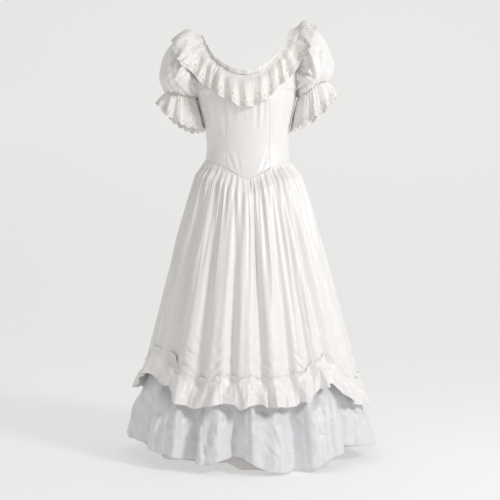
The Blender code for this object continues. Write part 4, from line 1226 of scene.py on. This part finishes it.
def make_neck_ruffle(name, first, last, under, fine_columns, seed):
    count = NECK_COLUMNS // 2 * fine_columns
    turn = even_turns(first + RUFFLE_SEAM_TURN, last - RUFFLE_SEAM_TURN, count)[None, :]
    heading = np.linspace(-NECK_HEADING, 0.0, NECK_HEADING_ROWS + 1)[:-1]
    fall = np.concatenate([heading, np.linspace(0.0, NECK_FALL_LENGTH, NECK_FINE_ROWS)])[:, None]
    column = np.arange(count + 1)[None, :] / fine_columns
    ended = smooth_step(np.minimum(column, count / fine_columns - column) / 1.5)
    drawn = scallops(column * NECK_COLUMN_WIDTH, SCALLOP_PITCH, SCALLOP_DEPTH) * ended
    fall = fall - drawn * smooth_step((fall - 0.07) / 0.038)
    low_heading = blend(0.25, 1.0, smooth_step(neckline(turn)[2] / 35.0))
    fall = np.where(fall < 0.0, fall * low_heading, fall)
    uneven_edge = NECK_UNEVEN_SHARE * rumple(column / 2.6, 0.0, seed + 9) * ended
    uneven_edge = read(NECK_EDGE, "turn", "share", wrap(turn)) - uneven_edge
    fall = np.where(fall > 0.0, fall * blend(1.0, uneven_edge, smooth_step(fall / 0.06)), fall)
    turn, fall, column = np.broadcast_arrays(turn, fall, column)
    base = neck_fall(turn, fall)
    out = normals_of(base)
    lift = read(NECK_RUFFLE_ROWS, "fall", "lift", fall)
    wave = read(NECK_RUFFLE_ROWS, "fall", "wave", fall)
    resting = fall[:, 0] >= 0.0
    centres = hearts(turn)
    base[resting] = keep_over(base[resting], centres[resting], under, lift[resting])
    base[resting] = soften(base[resting], 1.4 * fine_columns)
    base[resting] = keep_over(base[resting], centres[resting], under,
                              np.minimum(lift, 0.004)[resting])
    plain = neckline(turn)[1]
    out = np.where((fall < 0.0)[..., None], plain, out)
    base = base + np.where((fall < 0.0), lift, 0.0)[..., None] * out
    ended = np.broadcast_to(ended, column.shape)
    swing = 0.55 * rumple(column / 6.0, fall * 14.0, seed) * ended
    uneven = 0.85 + 0.45 * rumple(column / 5.0, fall * 6.0 + 4.0, seed + 2) * ended
    calm = blend(SHOULDER_WAVE, 1.0, smooth_step(neckline(turn)[2] / REACH_BLEND))
    height = wave * calm * (1.0 + np.cos(0.5 * math.pi * (column + swing))) * uneven
    fine = NECK_CRINKLE * creases(column / 1.5, fall * 9.0, seed + 4) * smooth_step(fall / 0.03)
    frill = NECK_FRILL * rumple(column * 1.3, fall * 0.0, seed + 6) * smooth_step(-fall / 0.010)
    points = base + out * (height + (fine + frill) * ended)[..., None]
    seam = SEAM_GAP / 2 if first > 0.0 else -SEAM_GAP / 2
    from_last = count / fine_columns - column
    to_seam = (1.0 - smooth_step(column / 2.0)) * (seam - points[:, :1, 1])
    to_seam = to_seam + (1.0 - smooth_step(from_last / 2.0)) * (seam - points[:, -1:, 1])
    points[..., 1] += to_seam
    piece = cloth(name, points, "lace")
    ends = name.replace("neck_ruffle_", "")
    tube("neck_edge_" + ends, as_hung(points[-1]), ROLL_RADIUS * 0.8, "lace")
    tube("neck_frill_edge_" + ends, as_hung(points[0]), ROLL_RADIUS * 0.6, "lace")
    stitched = int(np.argmin(np.abs(fall[:, 0] - 0.004)))
    stitches("neck_stitches_" + ends, as_hung(points[stitched]),
             normals_of(as_hung(points))[stitched], "lace")
    return piece


# Skirt


def back_folds(count, start, end, rise):
    """Folds across the back, unevenly spaced as in front."""
    folds = []
    pitch = (end - start) / count
    for k in range(count):
        ridge = start + pitch * (k + 0.16 * math.sin(2.3 * k))
        valley = start + pitch * (k + 0.5 + 0.10 * math.sin(1.7 * k + 1.0))
        folds.append(Fold(ridge, valley, rise * (1.0 + 0.25 * math.sin(3.1 * k))))
    return folds


OVERSKIRT_FOLDS = list(FRONT_FOLDS) + back_folds(
    BACK_FOLD_COUNT, BACK_FOLDS_START, BACK_FOLDS_END, 0.010)
FLOUNCE_FOLDS = list(FLOUNCE_FRONT_FOLDS) + back_folds(
    FLOUNCE_BACK_FOLD_COUNT, FLOUNCE_BACK_START, FLOUNCE_BACK_END, 0.014)


def fold_turns(folds):
    turns = []
    for fold in folds:
        turns.extend((fold.ridge, fold.valley))
    turns.append(folds[0].ridge + 360.0)
    return np.array(turns)


def fold_phase(folds, turn):
    """Folds passed at a turn: a whole number on a ridge, a half in a valley."""
    turns = fold_turns(folds)
    turn = (turn - turns[0]) % 360.0 + turns[0]
    return np.interp(turn, turns, 0.5 * np.arange(len(turns)))


def fold_height(folds, turn):
    phase = fold_phase(folds, turn)
    rises = np.array([fold.rise for fold in folds] + [folds[0].rise])
    rise = np.interp(phase, np.arange(len(rises)), rises)
    return rise * np.cos(2.0 * math.pi * phase)


def column_turns(folds):
    """Turns of the solids' shared columns, four to a fold, with the seams among them."""
    turns = fold_turns(folds)
    columns = []
    for near, far in zip(turns, turns[1:]):
        columns.extend((near, 0.5 * (near + far)))
    clear = [turn for turn in columns
             if all(abs(wrap(turn - seam)) > COLUMN_CLEARANCE for seam in SKIRT_SEAMS)]
    return clear + list(SKIRT_SEAMS)


COLUMNS = column_turns(OVERSKIRT_FOLDS)


def turns_between(first, last):
    """The shared columns between two seams, with the seams themselves."""
    gap = math.degrees(SEAM_GAP / 2 / SEAM_RADIUS)
    inside = [(turn - first) % 360.0 + first for turn in COLUMNS]
    inside = sorted(place for place in inside if first < place < last)
    return np.array([first + gap] + inside + [last - gap])


def waist_seam(turn):
    return read(BASQUE, "turn", "drop", np.abs(wrap(turn)))


def seam_drop(turn):
    """Drop of the overskirt's swagged lower edge."""
    return read(SWAG, "turn", "drop", wrap(turn))


def ring_place(turn, half_width, depth, drop):
    """Points of an oval ring, and their outward directions in plan."""
    sine, cosine = np.sin(np.radians(turn)), np.cos(np.radians(turn))
    normal = points_of(sine * depth, -cosine * half_width, 0.0)
    normal = normal / np.linalg.norm(normal, axis=-1, keepdims=True)
    return points_of(half_width * sine, -depth * cosine, -drop), normal


def skirt(turn, drop, offset):
    """Points of a skirt layer, a distance out from the skirt's plain form."""
    front = np.abs(wrap(turn)) < 90.0
    wide = read(SKIRT, "drop", "half_width", drop)
    deep = np.where(front, read(SKIRT, "drop", "front", drop), read(SKIRT, "drop", "back", drop))
    seam = waist_seam(turn)
    share = smooth_step((drop - seam) / SKIRT_BLEND)
    body = np.where(front, read(TORSO, "drop", "front", seam), read(TORSO, "drop", "back", seam))
    wide = blend(read(TORSO, "drop", "half_width", seam), wide, share)
    deep = blend(body, deep, share)
    point, normal = ring_place(turn, wide, deep, drop)
    return point + normal * np.asarray(offset)[..., None]


def overskirt_offset(turn, drop):
    """Gathers at the waist that run together into the folds of the hem."""
    below = drop - waist_seam(turn)
    phase = fold_phase(OVERSKIRT_FOLDS, turn)
    gathers = GATHER_RISE * (1.0 + np.cos(4.0 * math.pi * phase)) / 2
    gathers = gathers * (0.35 + 0.65 * smooth_step(below / 0.02))
    gathers = gathers * (1.0 - smooth_step(below / GATHER_LENGTH))
    lapped = (WALL + LAYER_GAP) * (1.0 - smooth_step(below / SKIRT_BLEND))
    grown = smooth_step((below - FOLD_STARTS) / FOLD_OPENS)
    grown = grown * blend(0.55, 1.0, smooth_step(below / FOLD_FULL))
    return lapped + gathers + grown * fold_height(OVERSKIRT_FOLDS, turn)


def from_seams(turn, seams, width):
    """0 on each seam, rising to 1 beyond a width in degrees."""
    near = np.full(np.shape(turn), 1e9)
    for seam in seams:
        near = np.minimum(near, np.abs(wrap(turn - seam)))
    return smooth_step(near / width)


def broadened(folds, turn, power):
    """How much higher a fold stands once its ridge is broadened and its valley narrowed."""
    rise = np.cos(2.0 * math.pi * fold_phase(folds, turn))
    return 1.0 - 2.0 * ((1.0 - rise) / 2.0) ** power - rise


def overskirt_creases(turn, drop):
    """Fine gathers below the waist, long soft folds, and crushed creases near the hem."""
    below = drop - waist_seam(turn)
    calm = from_seams(turn, SKIRT_SEAMS, 1.5) * smooth_step(below / 0.012)
    gathers = WAIST_GATHER * creases(turn / 2.7, below * 2.2, 41) * (1.0 - smooth_step(below / 0.26))
    pleats = WAIST_PLEAT * creases(turn / 5.2, below * 1.3, 43) * (1.0 - smooth_step((below - 0.2) / 0.4))
    gathers = gathers + pleats * smooth_step(below / 0.04)
    broad = OVERSKIRT_BROADER * broadened(OVERSKIRT_FOLDS, turn, 2.0) * smooth_step((below - 0.06) / 0.20)
    long_folds = broad + OVERSKIRT_LONG_FOLD * creases(turn / 7.0 + below * 1.1, below * 1.7, 47)
    long_folds = long_folds * smooth_step(below / 0.10)
    hem = smooth_step((below - 0.34) / 0.22)
    crushed = OVERSKIRT_CRUSH * creases(turn / 9.0 + drop * 12.0, drop * 34.0 - turn / 8.0, 53)
    fine = creases(turn / 4.4 - drop * 16.0, drop * 56.0 + turn / 7.0, 59)
    crushed = crushed + OVERSKIRT_FINE_CRUSH * fine
    return calm * (gathers + long_folds + crushed * hem)


def overskirt(turn, drop):
    offset = overskirt_offset(turn, drop) + overskirt_creases(turn, drop)
    drawn = drawn_creases(skirt(turn, drop, offset), OVERSKIRT_CREASES, -1)
    covered = smooth_step((seam_drop(turn) - drop) / 0.02)
    return skirt(turn, drop, offset + drawn * covered)


def flounce_offset(turn, drop):
    """Folds of the lower flounce, kept inside the layers above it."""
    out = smooth_step((drop - FLOUNCE_TOP) / (FLOUNCE_OUT_DROP - FLOUNCE_TOP))
    height = fold_height(FLOUNCE_FOLDS, turn) / FLOUNCE_RISE
    height = height * (1.0 + FLOUNCE_ROUNDING * (1.0 - height * height))
    grown = smooth_step((drop - FLOUNCE_FOLDS_START) / FLOUNCE_FOLDS_OPEN)
    own = FLOUNCE_RISE * height * blend(FLOUNCE_TOP_FOLDS, 1.0, grown)
    offset = own - FLOUNCE_INSET * (1.0 - out)
    covered = drop - seam_drop(turn)
    ruffle_end = HEM_RUFFLE_ROWS[-1].fall
    lift = FLOUNCE_UNDER_RUFFLE_LIFT * smooth_step(covered / ruffle_end)
    limit = overskirt_offset(turn, drop) + lift - WALL - LAYER_CLEARANCE
    free = smooth_step((covered - ruffle_end - FLOUNCE_CLEAR_BELOW) / FLOUNCE_CLEAR_LENGTH)
    held = np.minimum(offset, blend(limit, np.maximum(limit, offset), free))
    return np.where(covered < ruffle_end + FLOUNCE_CLEAR_BELOW + FLOUNCE_CLEAR_LENGTH, held, offset)


def flounce_creases(turn, drop):
    """Crisp crushed facets of the taffeta below the ruffle."""
    calm = from_seams(turn, (-90.0, 90.0), 1.5)
    free = smooth_step((drop - seam_drop(turn) - 0.075) / 0.05)
    valley = (fold_phase(FLOUNCE_FOLDS, turn) % 1.0 - 0.5) / 0.050
    sideways = smooth_step((np.abs(np.sin(np.radians(turn))) - 0.70) / 0.25)
    broad = blend(*FLOUNCE_BROADER, sideways) * broadened(FLOUNCE_FOLDS, turn, 3.0)
    broad = broad - blend(*FLOUNCE_VALLEY, sideways) * np.exp(-valley**2)
    broad = broad + FLOUNCE_BROAD_CREASE * creases(turn / 10.0 + drop * 5.0, drop * 9.0, 61)
    crisp = FLOUNCE_CRISP_CREASE * creases(turn / 4.6 - drop * 12.0, drop * 16.0 + turn / 14.0, 67)
    slant = FLOUNCE_SLANT_CREASE * creases(turn / 6.5 + drop * 18.0, drop * 26.0 - turn / 7.0, 71)
    return calm * free * (broad + crisp + slant)


def underskirt_offset(turn, drop):
    """The underskirt's plain cone, inside the overskirt and the flounce."""
    deeper = smooth_step((drop - UNDERSKIRT_INSET_STARTS) / UNDERSKIRT_INSET_LENGTH)
    offset = -blend(UNDERSKIRT_TOP_INSET, UNDERSKIRT_FULL_INSET, deeper)
    near_hem = smooth_step((drop - FLOUNCE_TOP) / UNDERSKIRT_FOLLOWS_LENGTH)
    beside = np.min([flounce_offset(turn + away, drop) for away in UNDERSKIRT_NEIGHBOURS], axis=0)
    behind = beside - WALL - LAYER_CLEARANCE
    follows = blend(offset, behind - UNDERSKIRT_HEM_INSET, near_hem)
    return np.where(drop > FLOUNCE_TOP, np.minimum(follows, behind), offset)


def hem_drop(turn, column):
    return read(HEMS, "turn", column, wrap(turn))


def skirt_grid(first, last, columns, shares, top, bottom):
    """Turns and drops of a sheet's grid between two seams."""
    ends = turns_between(first, last)
    turn = np.linspace(ends[0], ends[-1], columns + 1)[None, :]
    share = shares[:, None]
    drop = blend(top(turn), bottom(turn), share)
    return np.broadcast_arrays(turn, drop, share)


def make_overskirt(name, first, last, columns):
    shares = np.linspace(0.0, 1.0, OVERSKIRT_FINE_ROWS) ** 1.15
    turn, drop, _ = skirt_grid(first, last, columns, shares,
                               lambda at: waist_seam(at) - WAIST_LAP, seam_drop)
    points = overskirt(turn, drop)
    points[0] = skirt(turn[0], drop[0], np.full(turn[0].shape, THIN + STITCHED_GAP))
    return cloth(name, points, "satin")


def make_hem_ruffle(name, first, last, fine_columns, seed):
    """Gathered ruffle on the overskirt's edge, with its waves on the solid's columns."""
    ends = turns_between(first, last)
    columns = 2 * (len(ends) - 1)
    near = np.interp(np.arange(columns + 1) / 2, np.arange(len(ends)), ends)
    fine = columns * fine_columns
    column = np.linspace(0.0, columns, fine + 1)[None, :]
    turn = np.interp(column, np.arange(columns + 1), near)
    top, seam, end = HEM_RUFFLE_ROWS[0].fall, HEM_RUFFLE_ROWS[1].fall, HEM_RUFFLE_ROWS[-1].fall
    fall = np.concatenate([np.linspace(top, seam, 7)[:-1],
                           np.linspace(seam, end, RUFFLE_FINE_ROWS)])[:, None]
    turn, fall, column = np.broadcast_arrays(turn, fall, column)
    drop = seam_drop(turn) + fall
    base = overskirt(turn, drop)
    _, out = ring_place(turn, *HEM_RUFFLE_OVAL, drop)
    lift = read(HEM_RUFFLE_ROWS, "fall", "lift", fall)
    wave = read(HEM_RUFFLE_ROWS, "fall", "wave", fall)
    flat = np.clip(column, 1.0, columns - 1.0)
    ended = smooth_step(np.minimum(column, columns - column) / 2.0)
    swing = 0.50 * rumple(column / 5.0, fall * 20.0, seed) * ended
    uneven = 1.0 + 0.35 * rumple(column / 4.0, fall * 9.0, seed + 1) * ended
    fuller = blend(0.8, 1.35, from_seams(turn, (-90.0, 90.0), 16.0))
    height = fuller * wave * (1.0 + np.cos(0.5 * math.pi * (flat + swing))) * uneven
    below = smooth_step((fall - seam) / 0.015)
    small = RUFFLE_GATHER * creases(column / 1.1, fall * 12.0, seed + 2)
    small = small * np.exp(-(fall - seam) / 0.035) * below * ended
    frill = RUFFLE_FRILL * rumple(column * 1.5, fall * 0.0, seed + 8) * smooth_step((seam - fall) / 0.010)
    frill = frill * ended
    soft = RUFFLE_SOFT_FOLD * creases(column / 1.9, fall * 14.0, seed + 3)
    soft = soft * smooth_step(fall / 0.03) * ended
    closed_in = RUFFLE_HEADING_CLOSES * smooth_step((seam - fall) / 0.010) * ended
    away = np.maximum(lift - closed_in + height + small + frill + soft, THIN + STITCHED_GAP)
    points = base + out * away[..., None]
    sag = RUFFLE_SAG * rumple(column / 2.2, fall * 0.0, seed + 6)
    sag = sag * smooth_step(fall / 0.05) * ended
    standing = RUFFLE_HEADING_RISE * rumple(column / 1.3, fall * 0.0, seed + 12)
    standing = standing * smooth_step((seam - fall) / 0.013)
    points[..., 2] += standing * ended - sag
    piece = cloth(name, points, "satin")
    part_name = name.replace("hem_ruffle_", "")
    hung = as_hung(points)
    tube("ruffle_edge_" + part_name, hung[-1], ROLL_RADIUS, "satin")
    tube("ruffle_frill_edge_" + part_name, hung[0], ROLL_RADIUS * 0.7, "satin")
    stitched = int(np.argmin(np.abs(fall[:, 0] - seam)))
    stitches("ruffle_stitches_" + part_name, hung[stitched], normals_of(hung)[stitched], "satin")
    return piece


def make_flounce(name, first, last, columns):
    shares = np.linspace(0.0, 1.0, FLOUNCE_FINE_ROWS)
    turn, drop, _ = skirt_grid(first, last, columns, shares,
                               lambda at: np.full(np.shape(at), FLOUNCE_TOP),
                               lambda at: hem_drop(at, "flounce"))
    offset = flounce_offset(turn, drop) + flounce_creases(turn, drop)
    free = smooth_step((drop - seam_drop(turn) - 0.075) / 0.03)
    drawn = drawn_creases(skirt(turn, drop, offset), FLOUNCE_CREASES, -1)
    points = skirt(turn, drop, offset + drawn * free)
    piece = cloth(name, points, "taffeta")
    tube("flounce_edge_" + name.replace("flounce_", ""), as_hung(points[-1]), ROLL_RADIUS, "taffeta")
    return piece


def make_underskirt(name, first, last):
    shares = np.linspace(0.0, 1.0, UNDERSKIRT_FINE_ROWS)
    turn, drop, share = skirt_grid(first, last, UNDERSKIRT_FINE, shares,
                                   lambda at: waist_seam(at) - UNDERSKIRT_LAP,
                                   lambda at: hem_drop(at, "underskirt"))
    eased = smooth_step(share / UNDERSKIRT_ROWS[1])
    offset = blend(-UNDERSKIRT_SEAM_INSET, underskirt_offset(turn, drop), eased)
    return cloth(name, skirt(turn, drop, offset), "undercloth")


def area_light(name, place, aim, size, energy, color):
    data = bpy.data.lights.new(name, "AREA")
    data.shape = "RECTANGLE"
    data.size, data.size_y = size
    data.energy = energy
    data.color = color
    light = bpy.data.objects.new(name, data)
    light.location = place
    light.rotation_euler = (Vector(aim) - Vector(place)).to_track_quat("-Z", "Y").to_euler()
    bpy.context.scene.collection.objects.link(light)


def make_studio():
    camera_data = bpy.data.cameras.new("camera")
    camera_data.sensor_width = 36.0
    camera_data.lens = CAMERA_LENS
    camera = bpy.data.objects.new("camera", camera_data)
    camera.location = CAMERA_PLACE
    camera.rotation_euler = (math.radians(90.0), 0.0, 0.0)
    bpy.context.scene.collection.objects.link(camera)
    bpy.context.scene.camera = camera
    bpy.context.scene.view_settings.view_transform = "Standard"

    floor_look = bpy.data.materials.new("floor")
    floor_look.use_nodes = True
    shader = floor_look.node_tree.nodes["Principled BSDF"]
    shader.inputs["Base Color"].default_value = (*FLOOR_COLOR, 1.0)
    shader.inputs["Roughness"].default_value = 0.9
    shader.inputs["Specular IOR Level"].default_value = 0.1
    shader.inputs["Emission Color"].default_value = (1.0, 1.0, 1.0, 1.0)
    shader.inputs["Emission Strength"].default_value = FLOOR_GLOW
    profile = [(BACKDROP_FRONT, 0.0)]
    for degrees in np.linspace(0.0, 90.0, 25):
        bend = math.radians(degrees)
        profile.append((BACKDROP_BEND_STARTS + BACKDROP_BEND * math.sin(bend),
                        BACKDROP_BEND - BACKDROP_BEND * math.cos(bend)))
    profile.append((BACKDROP_BEND_STARTS + BACKDROP_BEND, BACKDROP_HEIGHT))
    sides = (-BACKDROP_HALF_WIDTH, BACKDROP_HALF_WIDTH)
    points = np.array([[(x, y, -FLOOR_DROP + z) for x in sides] for y, z in profile])
    index = np.arange(len(profile) * 2).reshape(-1, 2)
    faces = np.stack([index[:-1, 0], index[:-1, 1], index[1:, 1], index[1:, 0]], axis=-1)
    mesh = bpy.data.meshes.new("backdrop")
    mesh.from_pydata(points.reshape(-1, 3).tolist(), [], faces.tolist())
    mesh.materials.append(floor_look)
    mesh.shade_smooth()
    backdrop = bpy.data.objects.new("backdrop", mesh)
    bpy.context.scene.collection.objects.link(backdrop)

    world = bpy.data.worlds.new("studio")
    world.use_nodes = True
    world.node_tree.nodes["Background"].inputs["Color"].default_value = SKY_COLOR
    world.node_tree.nodes["Background"].inputs["Strength"].default_value = SKY_STRENGTH
    bpy.context.scene.world = world
    area_light("key", KEY_PLACE, KEY_AIM, KEY_SIZE, KEY_ENERGY, KEY_COLOR)
    area_light("fill", FILL_PLACE, FILL_AIM, FILL_SIZE, FILL_ENERGY, KEY_COLOR)


def main():
    make_studio()
    body = make_bodice()
    for sleeve, seed in zip(SLEEVES, (101, 131)):
        body.append(make_sleeve(sleeve, seed))
    under = tree_of(body)
    for sleeve, seed in zip(SLEEVES, (151, 171)):
        make_cuff(sleeve, under, seed)
    make_neck_ruffle("neck_ruffle_front", -90.0, 90.0, under, 8, 201)
    make_neck_ruffle("neck_ruffle_back", 90.0, 270.0, under, 6, 231)
    make_overskirt("overskirt_front", -90.0, 90.0, OVERSKIRT_FRONT_FINE)
    make_overskirt("overskirt_back_right", 90.0, 180.0, OVERSKIRT_BACK_FINE)
    make_overskirt("overskirt_back_left", 180.0, 270.0, OVERSKIRT_BACK_FINE)
    make_hem_ruffle("hem_ruffle_front", -90.0, 90.0, 7, 301)
    make_hem_ruffle("hem_ruffle_back", 90.0, 270.0, 5, 331)
    make_flounce("flounce_front", -90.0, 90.0, FLOUNCE_FRONT_FINE)
    make_flounce("flounce_back", 90.0, 270.0, FLOUNCE_BACK_FINE)
    make_underskirt("underskirt_front", -90.0, 90.0)
    make_underskirt("underskirt_back", 90.0, 270.0)


main()
